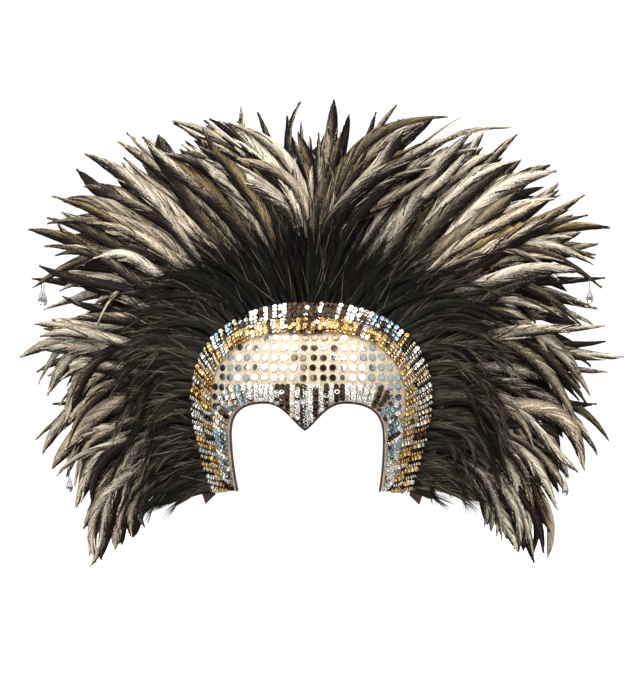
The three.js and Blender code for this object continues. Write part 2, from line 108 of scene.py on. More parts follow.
world = bpy.data.worlds.new("studio")
world.use_nodes = True
scene.world = world
world_nodes = world.node_tree.nodes
world_links = world.node_tree.links
room = world_nodes["Background"]
direction = world_nodes.new("ShaderNodeTexCoord")
split = world_nodes.new("ShaderNodeSeparateXYZ")
room_ramp = world_nodes.new("ShaderNodeValToRGB")
room_ramp.color_ramp.elements[0].position = ROOM_LOW
room_ramp.color_ramp.elements[0].color = ROOM_LOW_COLOUR
room_ramp.color_ramp.elements[1].position = 1.0
room_ramp.color_ramp.elements[1].color = ROOM_HIGH_COLOUR
for height, grey in ROOM_WALLS:
    wall = room_ramp.color_ramp.elements.new(height)
    wall.color = (*(warmth * grey for warmth in WALL_WARMTH), 1)
lift = set_inputs(world_nodes.new("ShaderNodeMapRange"), From_Min=-1.0)
world_links.new(direction.outputs["Generated"], split.inputs["Vector"])
world_links.new(split.outputs["Z"], lift.inputs["Value"])
world_links.new(lift.outputs["Result"], room_ramp.inputs["Fac"])
world_links.new(room_ramp.outputs["Color"], room.inputs["Color"])
room.inputs["Strength"].default_value = ROOM_STRENGTH
backdrop = world_nodes.new("ShaderNodeBackground")
set_inputs(backdrop, Color=(1, 1, 1, 1), Strength=BACKDROP_STRENGTH)
seen = world_nodes.new("ShaderNodeLightPath")
chosen = world_nodes.new("ShaderNodeMixShader")
world_links.new(seen.outputs["Is Camera Ray"], chosen.inputs["Fac"])
world_links.new(room.outputs["Background"], chosen.inputs[1])
world_links.new(backdrop.outputs["Background"], chosen.inputs[2])
world_links.new(chosen.outputs["Shader"], world_nodes["World Output"].inputs["Surface"])

# name: place in metres, width, height, watts. A gap between key and fill is what the dark sequins mirror.
SOFT_LIGHTS = {
    "key": ((-1.35, -2.3, 1.5), 2.1, 3.0, 70),
    "fill": ((1.55, -2.15, 1.4), 1.3, 3.0, 44),
    "top": ((0.0, -0.6, 2.5), 1.8, 1.2, 44),
    "rear": ((0.3, 2.6, 1.2), 1.6, 1.2, 36),
}
for name, (place, width, height, watts) in SOFT_LIGHTS.items():
    light = bpy.data.lights.new(name, "AREA")
    light.shape = "RECTANGLE"
    light.size = width
    light.size_y = height
    light.energy = watts
    lamp = bpy.data.objects.new(name, light)
    lamp.location = place
    lamp.rotation_euler = (-Vector(place)).to_track_quat("-Z", "Y").to_euler()
    scene.collection.objects.link(lamp)

# Bonnet: stiffened dark-brown felt, blocked to shape over a form, the base that all the rest is sewn to.
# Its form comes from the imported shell: level sections are superellipses that shrink upwards to the crown
# and taper a little down the cheeks. All lengths from here on are in millimetres.
MM = 0.001
BONNET_RISE = 84.0
SECTION_POWER = 2.3
RISE_POWER = 2.35
CHEEK_TAPER = 0.15
TAPER_POWER = 1.4
FELT_DARK = (0.016, 0.009, 0.006)
FELT_LIGHT = (0.054, 0.032, 0.023)
shell_low, shell_high = (np.array(corner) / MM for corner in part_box("bonnet_shell"))
half_width = shell_high[0]
half_length = -shell_low[1]
widest_z = shell_high[2] - BONNET_RISE
cheek_z = shell_low[2]


def section_share(z):
    """Share of the widest section left at height z: a power curve above the widest level, a taper below."""
    rise = np.clip((z - widest_z) / BONNET_RISE, 0, 1)
    drop = np.clip((widest_z - z) / (widest_z - cheek_z), 0, None)
    return (1 - rise**RISE_POWER) ** (1 / RISE_POWER) - CHEEK_TAPER * drop**TAPER_POWER


def front_y(x, z):
    """Depth of the bonnet's front at (x, z): y/L from (x/W)^p + (y/L)^p = share^p."""
    share = np.maximum(section_share(z), 1e-9)
    across = np.clip(np.abs(x) / (half_width * share), 0, 1)
    return -half_length * share * (1 - across**SECTION_POWER) ** (1 / SECTION_POWER)


def front_frame(x, z, height):
    """Points at a height off the front surface over (x, z), and the surface's unit normals there."""
    step = 0.4
    y = front_y(x, z)
    slope_x = (front_y(x + step, z) - front_y(x - step, z)) / (2 * step)
    slope_z = (front_y(x, z + step) - front_y(x, z - step)) / (2 * step)
    normal = np.stack([slope_x, -np.ones_like(y), slope_z], axis=-1)
    normal /= np.linalg.norm(normal, axis=-1, keepdims=True)
    return np.stack([x, y, z], axis=-1) + normal * np.asarray(height)[..., None], normal


def noise_bump(nodes, links, shader, vector, scale, detail, strength, depth):
    """Fine unevenness of the surface, depth in metres, from one noise pattern, which it returns."""
    noise = set_inputs(nodes.new("ShaderNodeTexNoise"), Scale=scale, Detail=detail)
    bump = set_inputs(nodes.new("ShaderNodeBump"), Strength=strength, Distance=depth)
    links.new(vector, noise.inputs["Vector"])
    links.new(noise.outputs["Fac"], bump.inputs["Height"])
    links.new(bump.outputs["Normal"], shader.inputs["Normal"])
    return noise


def two_tone(nodes, links, shader, factor, first, second, low=0.3, high=0.7):
    """Base colour between two tones, by a factor stretched from low to high."""
    ramp = nodes.new("ShaderNodeValToRGB")
    ramp.color_ramp.elements[0].position = low
    ramp.color_ramp.elements[0].color = (*first, 1)
    ramp.color_ramp.elements[1].position = high
    ramp.color_ramp.elements[1].color = (*second, 1)
    links.new(factor, ramp.inputs["Fac"])
    links.new(ramp.outputs["Color"], shader.inputs["Base Color"])


felt, nodes, links, shader = new_material(
    "brown_felt", Roughness=0.95, Sheen_Weight=0.12, Sheen_Roughness=0.5
)
place = nodes.new("ShaderNodeTexCoord")
spot = place.outputs["Object"]
fibres = noise_bump(nodes, links, shader, spot, scale=900, detail=6, strength=0.6, depth=0.0004)
two_tone(nodes, links, shader, fibres.outputs["Fac"], first=FELT_DARK, second=FELT_LIGHT)


def dress_node(node, material):
    """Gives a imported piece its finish."""
    slots = bpy.data.objects[node].material_slots
    for slot in slots:
        slot.material = material
    if not slots:
        bpy.data.objects[node].data.materials.append(material)


dress_node("bonnet_shell", felt)

# Face binding: brown woven tape folded over the raw edges of felt and cloth all round the face, and sewn
# through with a running stitch. The edge rises up each cheek, turns over the brow arch and dips to a peak.
FACE_HALF_WIDTH_LOW = 60.0
FACE_HALF_WIDTH_HIGH = 64.5
SHOULDER_DROP = 27.0
ARCH_HALF_SPACING = 34.0
ARCH_DROP = 2.0
PEAK_DROP = 25.0
BINDING_WIDTH = 2.2
BINDING_OUTSIDE = 2.0
BINDING_INSIDE = -3.9
FOLD_SIDES = 12
FOLD_ROUNDNESS = 0.6
TAPE_DARK = (0.020, 0.008, 0.005)
TAPE_LIGHT = (0.070, 0.028, 0.019)
# Where the handles of the face edge's curves lie, as shares of the way to the next point
OVER_SHOULDER = 0.75
BESIDE_ARCH = 0.62
PAST_ARCH = 0.52
ABOVE_PEAK_X = 0.3
ABOVE_PEAK_Z = 0.72
PEAK_INSET = 1.35
# Texture places are in units of this many millimetres
UV_UNIT = 100
arch_z = widest_z - ARCH_DROP
shoulder_z = arch_z - SHOULDER_DROP
peak_z = widest_z - PEAK_DROP


def bezier(points, count):
    """Points along a Bezier curve of any degree, by repeated mixing, without its last point."""
    t = np.arange(count)[:, None] / count
    level = [np.array(p, dtype=float) + 0 * t for p in points]
    while len(level) > 1:
        level = [(1 - t) * a + t * b for a, b in zip(level, level[1:])]
    return level[0]


def face_edge(inset, counts=(26, 34, 34)):
    """The face edge from the left cheek over the brow to the right, moved into the cloth by inset along
    its own normal: a bowed side, a shoulder curve and a curve down to the peak, mirrored."""
    low = (FACE_HALF_WIDTH_LOW, cheek_z)
    bow = (FACE_HALF_WIDTH_HIGH, (cheek_z + shoulder_z) / 2)
    side = (FACE_HALF_WIDTH_HIGH, shoulder_z)
    over = (FACE_HALF_WIDTH_HIGH, shoulder_z + OVER_SHOULDER * SHOULDER_DROP)
    beside = (ARCH_HALF_SPACING + BESIDE_ARCH * (FACE_HALF_WIDTH_HIGH - ARCH_HALF_SPACING), arch_z)
    arch = (ARCH_HALF_SPACING, arch_z)
    past = (ARCH_HALF_SPACING * PAST_ARCH, arch_z)
    above = (ARCH_HALF_SPACING * ABOVE_PEAK_X, arch_z + ABOVE_PEAK_Z * (peak_z - arch_z))
    half = np.concatenate(
        [
            bezier([low, bow, side], counts[0]),
            bezier([side, over, beside, arch], counts[1]),
            bezier([arch, past, above, (0, peak_z)], counts[2]),
        ]
    )
    along = np.gradient(half, axis=0)
    along /= np.linalg.norm(along, axis=1, keepdims=True)
    half = half + inset * np.stack([along[:, 1], -along[:, 0]], axis=1)
    half[0, 1] = cheek_z
    peak = np.array([[0.0, peak_z + PEAK_INSET * inset]])
    return np.concatenate([half * [-1, 1], peak, half[::-1]])


def looped_mesh(name, points, uv=None, tint=None):
    """A mesh of closed bodies from points[body, row, around]: quads between rows, a cap at each end.
    uv is given for each point, and tint is a colour kept as the attribute of that name."""
    bodies, rows, around, _ = points.shape
    index = np.arange(bodies * rows * around).reshape(bodies, rows, around)
    beside = np.roll(index, -1, axis=2)
    quads = np.stack([index[:, :-1], beside[:, :-1], beside[:, 1:], index[:, 1:]], axis=-1).reshape(-1, 4)
    caps = np.concatenate([index[:, 0, ::-1], index[:, -1]])
    corners = np.concatenate([quads.ravel(), caps.ravel()])
    starts = np.concatenate([np.arange(len(quads)) * 4, quads.size + np.arange(len(caps)) * around])
    mesh = bpy.data.meshes.new(name)
    mesh.vertices.add(index.size)
    mesh.vertices.foreach_set("co", (points * MM).astype(np.float32).ravel())
    mesh.loops.add(len(corners))
    mesh.loops.foreach_set("vertex_index", corners.astype(np.int32))
    mesh.polygons.add(len(starts))
    mesh.polygons.foreach_set("loop_start", starts.astype(np.int32))
    mesh.update(calc_edges=True)
    mesh.polygons.foreach_set("use_smooth", np.ones(len(starts), dtype=bool))
    if uv is not None:
        layer = mesh.uv_layers.new(name="UVMap")
        layer.data.foreach_set("uv", uv.reshape(-1, 2)[corners].astype(np.float32).ravel())
    if tint is not None:
        colours = mesh.color_attributes.new("tint", "FLOAT_COLOR", "POINT")
        colours.data.foreach_set("color", tint.reshape(-1, 4).astype(np.float32).ravel())
    mesh.update()
    piece = bpy.data.objects.new(name, mesh)
    scene.collection.objects.link(piece)
    return piece


def fit_out(piece, material, slot, *nodes):
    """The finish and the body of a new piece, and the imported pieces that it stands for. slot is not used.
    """
    piece.data.materials.append(material)
    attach(piece, "root")
    if nodes:
        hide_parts(*nodes)


edge = face_edge(0.0)
seam = face_edge(BINDING_WIDTH)
fold = np.linspace(0, 2 * np.pi, FOLD_SIDES, endpoint=False)
across = 0.5 - 0.5 * np.sign(np.cos(fold)) * np.abs(np.cos(fold)) ** FOLD_ROUNDNESS
depth = 0.5 + 0.5 * np.sign(np.sin(fold)) * np.abs(np.sin(fold)) ** FOLD_ROUNDNESS
spine = edge[:, None, :] + (seam - edge)[:, None, :] * across[None, :, None]
base, _ = front_frame(spine[..., 0], spine[..., 1], np.zeros(spine.shape[:2]))
reach = BINDING_INSIDE + (BINDING_OUTSIDE - BINDING_INSIDE) * depth
binding_points = base - np.array([0, 1, 0]) * reach[None, :, None]
run = np.concatenate([[0], np.cumsum(np.linalg.norm(np.diff(edge, axis=0), axis=1))])
binding_uv = np.stack(np.broadcast_arrays(run[:, None] / UV_UNIT, fold[None, :] / 10), axis=-1)
binding = looped_mesh("face_binding_tape", binding_points[None], binding_uv[None])

tape_cloth, nodes, links, shader = new_material("brown_tape", Roughness=0.8, Sheen_Weight=0.3)
place = nodes.new("ShaderNodeTexCoord")
spot = place.outputs["Object"]
weave = noise_bump(nodes, links, shader, spot, scale=1600, detail=3, strength=0.7, depth=0.0003)
two_tone(nodes, links, shader, weave.outputs["Fac"], first=TAPE_DARK, second=TAPE_LIGHT)
fit_out(binding, tape_cloth, "binding", "face_binding")
dress_node("feather_tape", tape_cloth)

# Sequinned cloth: champagne net laid over the front of the felt and caught down under both trims, so it
# lies close, with slight puckers between the stitches. Its net is hexagonal and soft gold.
RIM_Y = -45.0
RIM_END = 131.0
CLOTH_TOP = 1.3
CLOTH_BOTTOM = 0.4
CLOTH_ACROSS = 44
CLOTH_UNDER_BINDING = 1.0
CLOTH_SETBACK = 9.0
NET_THREAD = (0.74, 0.62, 0.46)
NET_HOLE = (0.40, 0.30, 0.20)
# Share of the way along half the face edge, and the angle of the rim that it is joined to
EDGE_TO_RIM = ((0.0, 131.0), (0.36, 97.0), (0.68, 38.0), (1.0, 0.0))
# Height of the puckers, their turns per millimetre across and down, and how they wander
PUCKER = 0.32
PUCKER_ACROSS = 0.55
PUCKER_DOWN = 0.48
PUCKER_WANDER = 1.3
PUCKER_WANDER_DOWN = 0.3


def polar(deg, radius):
    """Front-view points at an angle from straight up and a distance from the middle of the widest level."""
    turn = np.radians(deg)
    return np.stack([radius * np.sin(turn), widest_z + radius * np.cos(turn)], axis=-1)


def rim_radius(deg, y):
    """Distance at which the bonnet's front meets the plane y, found by halving."""
    low = np.zeros_like(np.asarray(deg, dtype=float))
    high = low + 2 * half_width
    for _ in range(30):
        middle = (low + high) / 2
        point = polar(np.abs(deg), middle)
        inside = front_y(point[..., 0], point[..., 1]) < y
        low = np.where(inside, middle, low)
        high = np.where(inside, high, middle)
    return low


inner = face_edge(BINDING_WIDTH - CLOTH_UNDER_BINDING, counts=(40, 50, 50))
half_count = len(inner) // 2
run = np.concatenate([[0], np.cumsum(np.linalg.norm(np.diff(inner[: half_count + 1], axis=0), axis=1))])
share = run / run[-1]
rim_deg = np.interp(share, *zip(*EDGE_TO_RIM))
outer = polar(rim_deg, rim_radius(rim_deg, RIM_Y) - CLOTH_SETBACK)
outer[:, 1] = np.maximum(outer[:, 1], cheek_z)
outer = np.concatenate([outer * [-1, 1], outer[-2::-1]])
t = np.linspace(0, 1, CLOTH_ACROSS)
flat = inner[:, None, :] + (outer - inner)[:, None, :] * t[None, :, None]
wander = PUCKER_WANDER * np.sin(flat[..., 1] * PUCKER_WANDER_DOWN)
pucker = PUCKER * np.sin(flat[..., 0] * PUCKER_ACROSS + wander) * np.sin(flat[..., 1] * PUCKER_DOWN)
top, _ = front_frame(flat[..., 0], flat[..., 1], CLOTH_TOP + pucker)
bottom, _ = front_frame(flat[..., 0], flat[..., 1], np.full(flat.shape[:2], CLOTH_BOTTOM))
cloth_points = np.concatenate([top, bottom[:, ::-1]], axis=1)
cloth_uv = np.concatenate([flat, flat[:, ::-1]], axis=1) / UV_UNIT
cloth = looped_mesh("sequin_net_cloth", cloth_points[None, ::-1], cloth_uv[None, ::-1])

net, nodes, links, shader = new_material("champagne_net", Roughness=0.5, Metallic=0.1, Sheen_Weight=0.3)
place = nodes.new("ShaderNodeTexCoord")
holes = set_inputs(nodes.new("ShaderNodeTexVoronoi"), Scale=900)
links.new(place.outputs["Object"], holes.inputs["Vector"])
distance = holes.outputs["Distance"]
two_tone(nodes, links, shader, distance, first=NET_THREAD, second=NET_HOLE, low=0.4, high=0.8)
threads = set_inputs(nodes.new("ShaderNodeBump"), Strength=0.6, Distance=0.0003)
threads.invert = True
links.new(distance, threads.inputs["Height"])
links.new(threads.outputs["Normal"], shader.inputs["Normal"])
fit_out(cloth, net, "sequin_cloth", "sequin_cloth")

# Flat sequins: 6 mm mirror discs sewn to the net in level rows, each held by one thread through its
# middle, so that each tips a little its own way and flashes apart from its neighbours.
DISC_RADIUS = 3.0
DISC_THICK = 0.22
DISC_SIDES = 18
DISC_EYE = 0.4
DISC_ROWS = 12
DISC_COLUMNS = 13
DISC_PITCH_ACROSS = 8.3
DISC_PITCH_DOWN = 8.2
DISC_SHIFT = -1.1
DISC_TOP_Z = -28.2
DISC_LIFT = 1.9
DISC_SCATTER_ACROSS = 0.3
DISC_SCATTER_DOWN = 0.25
DISC_TIP = 0.045
DISC_TO_RIM = 1.5
DISC_TO_FACE = 15.5
DISC_OVER_BROW = 1.0
BESIDE_BROW_X = 58.0
LEVEL_STEPS = 200
LEVEL_END = 0.97
SILVER_RIM_WIDTH = 12.5
GOLD_RIM_INSIDE = 23.2
RIM_LOW_SHARE = 0.6
BROW_LINE_Z = -67.0
# Towards the sides the film is blue and the discs face more to the front. A patch right of the middle is
# tinted brown, a painted reflection of the dark brown that these discs mirror. The losses are what red,
# green and blue lose of the silver.
DISC_SILVER = 0.93
DISC_DULLEST = 0.86
BLUE_FROM_X = 46.0
BLUE_OVER = 16.0
BLUE_CHANCE = 1.2
BLUE_FACING = 0.7
BLUE_LOSS = np.array([0.80, 0.775, 0.765])
BROWN_MIDDLE_X = 10.0
BROWN_HALF = 19.0
BROWN_CHANCE = 0.85
BROWN_LOSS = np.array([0.77, 0.81, 0.84])
FORWARD = np.array([0.0, -1.0, 0.0])


def rim_inset(deg, inside):
    """Distance from the middle at a depth inside the rim, which shrinks towards the cheek bottoms."""
    return rim_radius(deg, RIM_Y) - inside * (1 - (1 - RIM_LOW_SHARE) * np.abs(deg) / RIM_END)


def tipped_frames(normal, spread, rng):
    """Unit axes of discs whose normals are tipped at random from the surface's by up to spread."""
    tipped = normal + rng.normal(0, spread, normal.shape)
    tipped /= np.linalg.norm(tipped, axis=-1, keepdims=True)
    first = np.cross(tipped, [0.0, 0.0, 1.0])
    first /= np.linalg.norm(first, axis=-1, keepdims=True)
    return tipped, first, np.cross(tipped, first)


def turned_bodies(centre, frames, radii, heights, around):
    """Bodies turned round their own normals: ring k has radii[k] and stands heights[k] up the normal."""
    normal, first, second = frames
    turn = -np.arange(around) * 2 * np.pi / around
    ring = np.cos(turn)[:, None] * first[:, None, :] + np.sin(turn)[:, None] * second[:, None, :]
    radii = np.asarray(radii)[None, :, None, None]
    heights = np.asarray(heights)[None, :, None, None]
    return centre[:, None, None, :] + radii * ring[:, None] + heights * normal[:, None, None, :]


def point_tint(colour, points):
    """A colour for each body, or for each ring of it, spread over all its points."""
    colour = colour.reshape(len(points), -1, 1, 4)
    return np.broadcast_to(colour, (*points.shape[:3], 4))


def opaque(colour):
    """Colours of bodies with a full alpha beside them."""
    return np.concatenate([colour, np.ones((len(colour), 1))], axis=1)


rng = np.random.default_rng(11)
rows, columns = np.meshgrid(np.arange(DISC_ROWS), np.arange(-DISC_COLUMNS, DISC_COLUMNS + 1), indexing="ij")
disc_z = DISC_TOP_Z - DISC_PITCH_DOWN * rows.ravel() + rng.normal(0, DISC_SCATTER_DOWN, rows.size)
wrap = DISC_SHIFT + DISC_PITCH_ACROSS * columns.ravel() + rng.normal(0, DISC_SCATTER_ACROSS, rows.size)
# Each row keeps its pitch round the curve of its level section
scan = np.linspace(0, LEVEL_END, LEVEL_STEPS)
level_x = scan[None, :] * half_width * section_share(disc_z)[:, None]
level_y = front_y(level_x, disc_z[:, None])
step = np.hypot(np.diff(level_x), np.diff(level_y))
arc = np.concatenate([np.zeros((len(step), 1)), np.cumsum(step, axis=1)], axis=1)
disc_x = np.array([np.interp(abs(w), a, x) * np.sign(w) for w, a, x in zip(wrap, arc, level_x)])
deg = np.degrees(np.arctan2(disc_x, disc_z - widest_z))
distance = np.hypot(disc_x, disc_z - widest_z)
face = face_edge(0)
to_face = np.hypot(disc_x[:, None] - face[:, 0], disc_z[:, None] - face[:, 1]).min(axis=1)
kept = (distance < rim_inset(deg, GOLD_RIM_INSIDE) - DISC_TO_RIM) & (to_face > DISC_TO_FACE)
kept &= (disc_z > BROW_LINE_Z + DISC_OVER_BROW) | (np.abs(disc_x) > BESIDE_BROW_X)
kept &= (np.abs(disc_x) > FACE_HALF_WIDTH_HIGH) | (disc_z > arch_z)
centre, normal = front_frame(disc_x[kept], disc_z[kept], np.full(kept.sum(), DISC_LIFT))
blue = np.clip((np.abs(centre[:, 0]) - BLUE_FROM_X) / BLUE_OVER, 0, 1)
frames = tipped_frames(normal + BLUE_FACING * blue[:, None] * FORWARD, DISC_TIP, rng)
disc_radii = [DISC_EYE, DISC_RADIUS - 0.5, DISC_RADIUS - 0.15, DISC_RADIUS, DISC_RADIUS - 0.3, DISC_EYE]
disc_heights = DISC_THICK * np.array([1.0, 1.0, 0.9, 0.0, -0.5, -0.5])
disc_points = turned_bodies(centre, frames, disc_radii, disc_heights, DISC_SIDES)
shade = rng.uniform(DISC_DULLEST, 1.0, (len(centre), 1))
blue = rng.random(len(centre)) < BLUE_CHANCE * blue
# Painted reflection: the discs of a patch right of the middle are tinted brown.
brown = (np.abs(centre[:, 0] - BROWN_MIDDLE_X) < BROWN_HALF) & (rng.random(len(centre)) < BROWN_CHANCE)
film_colour = shade * (DISC_SILVER - blue[:, None] * BLUE_LOSS - brown[:, None] * BROWN_LOSS)
discs = looped_mesh("flat_sequins", disc_points, tint=point_tint(opaque(film_colour), disc_points))


def foil_material(name, roughness):
    """Metallised film: the tint attribute as a mirror colour, with faint scratches and dents."""
    foil, nodes, links, shader = new_material(name, Metallic=1.0, Roughness=roughness)
    film = nodes.new("ShaderNodeAttribute")
    film.attribute_name = "tint"
    links.new(film.outputs["Color"], shader.inputs["Base Color"])
    place = nodes.new("ShaderNodeTexCoord")
    spot = place.outputs["Object"]
    noise_bump(nodes, links, shader, spot, scale=450, detail=3, strength=0.35, depth=0.0003)
    return foil


silver_foil = foil_material("silver_film", 0.13)
fit_out(discs, silver_foil, "silver_sequins")

# Rim trims: strings of 4.6 mm cup sequins that overlap like scales, laid side by side across the rim and
# slanted up towards it. Their outer parts are silver and pale blue and form one row, their inner parts
# gold and amber and form the other. Low on the sides every second string stands on edge like a chain.
CUP_RADIUS = 2.3
CUP_DEPTH = 1.45
CUP_SIDES = 8
CUP_RING_RADII = (0.35, 1.15, CUP_RADIUS, 1.15, 0.35)
CUP_RING_HEIGHTS = (0.05, 0.12, CUP_DEPTH, -0.08, -0.15)
# The rim ring of each cup is darkened to 0.8 of its tone: painted shade where the cups overlap.
CUP_RING_PAINTED_SHADE = np.array([1.0, 1.0, 0.8, 1.0, 1.0])
CUP_FACING = 1.3
CUP_SCATTER = 0.32
CUP_STRAY = 0.15
CUP_DULLEST = 0.85
SCALE_PITCH = 2.9
CHAIN_PITCH = 1.8
SCALE_TILT = 0.42
CHAIN_TILT = 1.9
STRING_TILT_SWING = 0.5
STRING_HEIGHT = 2.0
STRING_UNEVEN = 0.2
STRING_BULGE = 1.3
STRING_SLACK = 1.1
STRING_LOYALTY = 0.75
STRING_PITCH = 5.2
STRING_END = 137.0
STRING_SCATTER_DEG = 0.25
STRING_TO_CHEEK = 1.5
RIM_SLANT_DEG = 4.5
RIM_SLANT_LAST_DEG = 100
RIM_ARC_SHARE = 0.97
CHAIN_FROM_DEG = 62.0
WHITE = (0.95, 0.94, 0.90)
BLUE = (0.40, 0.53, 0.58)
BRONZE = (0.075, 0.050, 0.032)
GOLD = (0.74, 0.47, 0.17)
AMBER = (0.68, 0.40, 0.15)
CHAMPAGNE = (0.88, 0.78, 0.60)
CUP_TONES = np.array([WHITE, BLUE, BRONZE, GOLD, AMBER, CHAMPAGNE])
# Odds of cups in the order of CUP_TONES, by degrees from straight up
SILVER_STOPS = {
    0: (0.3, 0, 9, 0.1, 0, 0),
    7: (0.6, 0, 6, 0.1, 0, 0.3),
    12: (5, 0, 4, 0.2, 0, 0.5),
    30: (6, 0, 3, 0.3, 0, 1),
    48: (3, 4, 1, 0.4, 0, 1),
    75: (3, 1.8, 0.4, 4, 0.8, 2),
    131: (2, 1.2, 0.4, 6, 1.2, 2),
}
GOLD_STOPS = {
    0: (0.3, 0, 8, 0.6, 0.5, 0),
    12: (1, 0, 4, 2, 0.8, 0.5),
    30: (0.6, 0, 2, 5, 1.2, 0.6),
    48: (1, 0.4, 0.4, 6, 1.2, 1.5),
    131: (1, 0.1, 0.3, 6, 1.2, 1.5),
}
CHAIN_ODDS = (2.5, 0.3, 0.2, 3, 0.2, 6)
# Each row's outer and inner depth inside the rim, its rise at the rim and its odds
RIM_ROWS = {
    "silver": (-1.0, SILVER_RIM_WIDTH + 0.5, 2.6, SILVER_STOPS),
    "gold": (10.5, GOLD_RIM_INSIDE, 0.0, GOLD_STOPS),
}


def strung_cups(start, end, rng, bulge, lift, tilt, odds):
    """Cups threaded on strings from start to end in the front view. Each string stands off the surface by
    half a sine wave of its length and rises by lift to its end. Each cup leans along its string by tilt
    and, unless it stands on edge, turns to the front. odds gives each string's chances of the cup tones,
    and most cups of a string are alike. Returns points and tints."""
    length = np.linalg.norm(end - start, axis=1)
    pitch = np.where(tilt > 1, CHAIN_PITCH, SCALE_PITCH)
    counts = np.maximum(3, np.round(length * STRING_SLACK / pitch).astype(int))
    owner = np.repeat(np.arange(len(start)), counts)
    order = np.concatenate([np.arange(n) for n in counts])
    share = (order + 0.5) / counts[owner]
    flat = start[owner] + (end - start)[owner] * share[:, None]
    height = STRING_HEIGHT + bulge * np.sin(np.pi * share) ** 0.7 + lift * share**2
    height += rng.normal(0, STRING_UNEVEN, len(owner))
    centre, normal = front_frame(flat[:, 0], flat[:, 1], height)
    ahead = flat + (end - start)[owner] / length[owner][:, None]
    behind, _ = front_frame(flat[:, 0], flat[:, 1], np.zeros(len(owner)))
    onward, _ = front_frame(ahead[:, 0], ahead[:, 1], np.zeros(len(owner)))
    along = onward - behind
    along /= np.linalg.norm(along, axis=1, keepdims=True)
    lean = along * (tilt[owner] + STRING_TILT_SWING * np.cos(np.pi * share))[:, None]
    centre += rng.normal(0, CUP_STRAY, centre.shape)
    facing = np.where(tilt[owner] > 1, 0.0, CUP_FACING)[:, None] * FORWARD
    frames = tipped_frames(normal + facing + lean, CUP_SCATTER, rng)
    points = turned_bodies(centre, frames, CUP_RING_RADII, CUP_RING_HEIGHTS, CUP_SIDES)
    loyal = rng.random(len(owner)) < STRING_LOYALTY
    draw = np.where(loyal, rng.random(len(start))[owner], rng.random(len(owner)))
    chance = np.cumsum(odds, axis=1)[owner]
    choice = (draw[:, None] * chance[:, -1:] > chance).sum(axis=1)
    tone = CUP_TONES[choice] * rng.uniform(CUP_DULLEST, 1.0, (len(owner), 1))
    # Each cup's tint is darker on its rim ring: painted shade.
    return points, point_tint(opaque(tone)[:, None] * CUP_RING_PAINTED_SHADE[:, None], points)


def blend_odds(place, stops):
    """Odds of the cup tones at each place, mixed between the nearest stops: {place: odds}."""
    spots = list(stops)
    tones = range(len(CUP_TONES))
    columns = [np.interp(place, spots, [stops[spot][tone] for spot in spots]) for tone in tones]
    return np.stack(columns, axis=1)


def rim_strings(deg, outer, inner):
    """Ends of the strings between two depths inside the rim, slanted."""
    slant = RIM_SLANT_DEG * np.sin(np.radians(np.clip(deg, -RIM_SLANT_LAST_DEG, RIM_SLANT_LAST_DEG)))
    start = polar(deg + slant * 0.5, rim_inset(deg + slant * 0.5, inner))
    end = polar(deg - slant * 0.5, rim_inset(deg - slant * 0.5, outer))
    low = cheek_z + STRING_TO_CHEEK
    start[:, 1] = np.maximum(start[:, 1], low)
    end[:, 1] = np.maximum(end[:, 1], low)
    return start, end


cup_film = foil_material("cup_film", 0.2)
rng = np.random.default_rng(23)
count = int(np.radians(2 * STRING_END) * half_width * RIM_ARC_SHARE / STRING_PITCH)
deg = np.linspace(-STRING_END, STRING_END, count) + rng.normal(0, STRING_SCATTER_DEG, count)
chain = (np.abs(deg) > CHAIN_FROM_DEG) & (np.arange(count) % 2 == 0)
tilt = np.where(chain, CHAIN_TILT, SCALE_TILT)
for metal, (outer_depth, inner_depth, lift, stops) in RIM_ROWS.items():
    start, end = rim_strings(deg, outer_depth, inner_depth)
    odds = blend_odds(np.abs(deg), stops)
    odds[chain] = CHAIN_ODDS
    points, tint = strung_cups(start, end, rng, STRING_BULGE, lift, tilt, odds)
    strings = looped_mesh(f"{metal}_sequin_strings", points, tint=tint)
    fit_out(strings, cup_film, f"{metal}_sequins", f"{metal}_rim_trim")

# Brow trim: strings of the same cups beside the face edge. They slant up and out on the cheeks, stand up
# over the brow arches and hang straight down to the peak, where they are longest.
BROW_WIDTH = 12.0
BROW_PITCH = 4.3
BROW_TILT = 0.75
BROW_TILT_X = 52.0
BROW_BULGE = 1.6
BROW_FROM_BINDING = 0.2
BROW_TO_GOLD = 0.5
BROW_END_GAP = 2.0
BROW_UNEVEN = (0.3, 1.7)
OVER_ARCH_SHARE = 1.25
CHEEK_RISE = 8.0
CHEEK_TOP = 14.0
# Odds of cups in the order of CUP_TONES, by distance from the middle
BROW_STOPS = {
    0: (9, 0, 2, 0, 0, 0.5),
    9: (7, 0, 2, 0, 0, 0.5),
    16: (5, 0, 4, 0, 0, 1),
    30: (5, 0, 4, 0, 0, 1),
    38: (9, 0, 0.6, 0, 0, 0.5),
    46: (9, 0.4, 0.6, 0, 0, 0.5),
    60: (4, 2.6, 0.8, 0.3, 0, 2.5),
    70: (3, 3.4, 0.8, 0.6, 0, 2.5),
}

near = face_edge(BINDING_WIDTH + BROW_FROM_BINDING)
far = face_edge(BINDING_WIDTH + BROW_WIDTH)
over_arch = (near[:, 1] > shoulder_z) & (np.abs(near[:, 0]) < OVER_ARCH_SHARE * ARCH_HALF_SPACING)
far[over_arch, 0] = near[over_arch, 0]
far[over_arch, 1] = np.maximum(far[over_arch, 1], BROW_LINE_Z)
rise = np.where(over_arch, 0.0, CHEEK_RISE)
far[:, 1] = np.minimum(far[:, 1] + rise, widest_z + CHEEK_TOP)
deg = np.degrees(np.arctan2(far[:, 0], far[:, 1] - widest_z))
limit = rim_inset(deg, GOLD_RIM_INSIDE) - BROW_TO_GOLD
distance = np.hypot(far[:, 0], far[:, 1] - widest_z)
far = np.where((distance > limit)[:, None], polar(deg, limit), far)
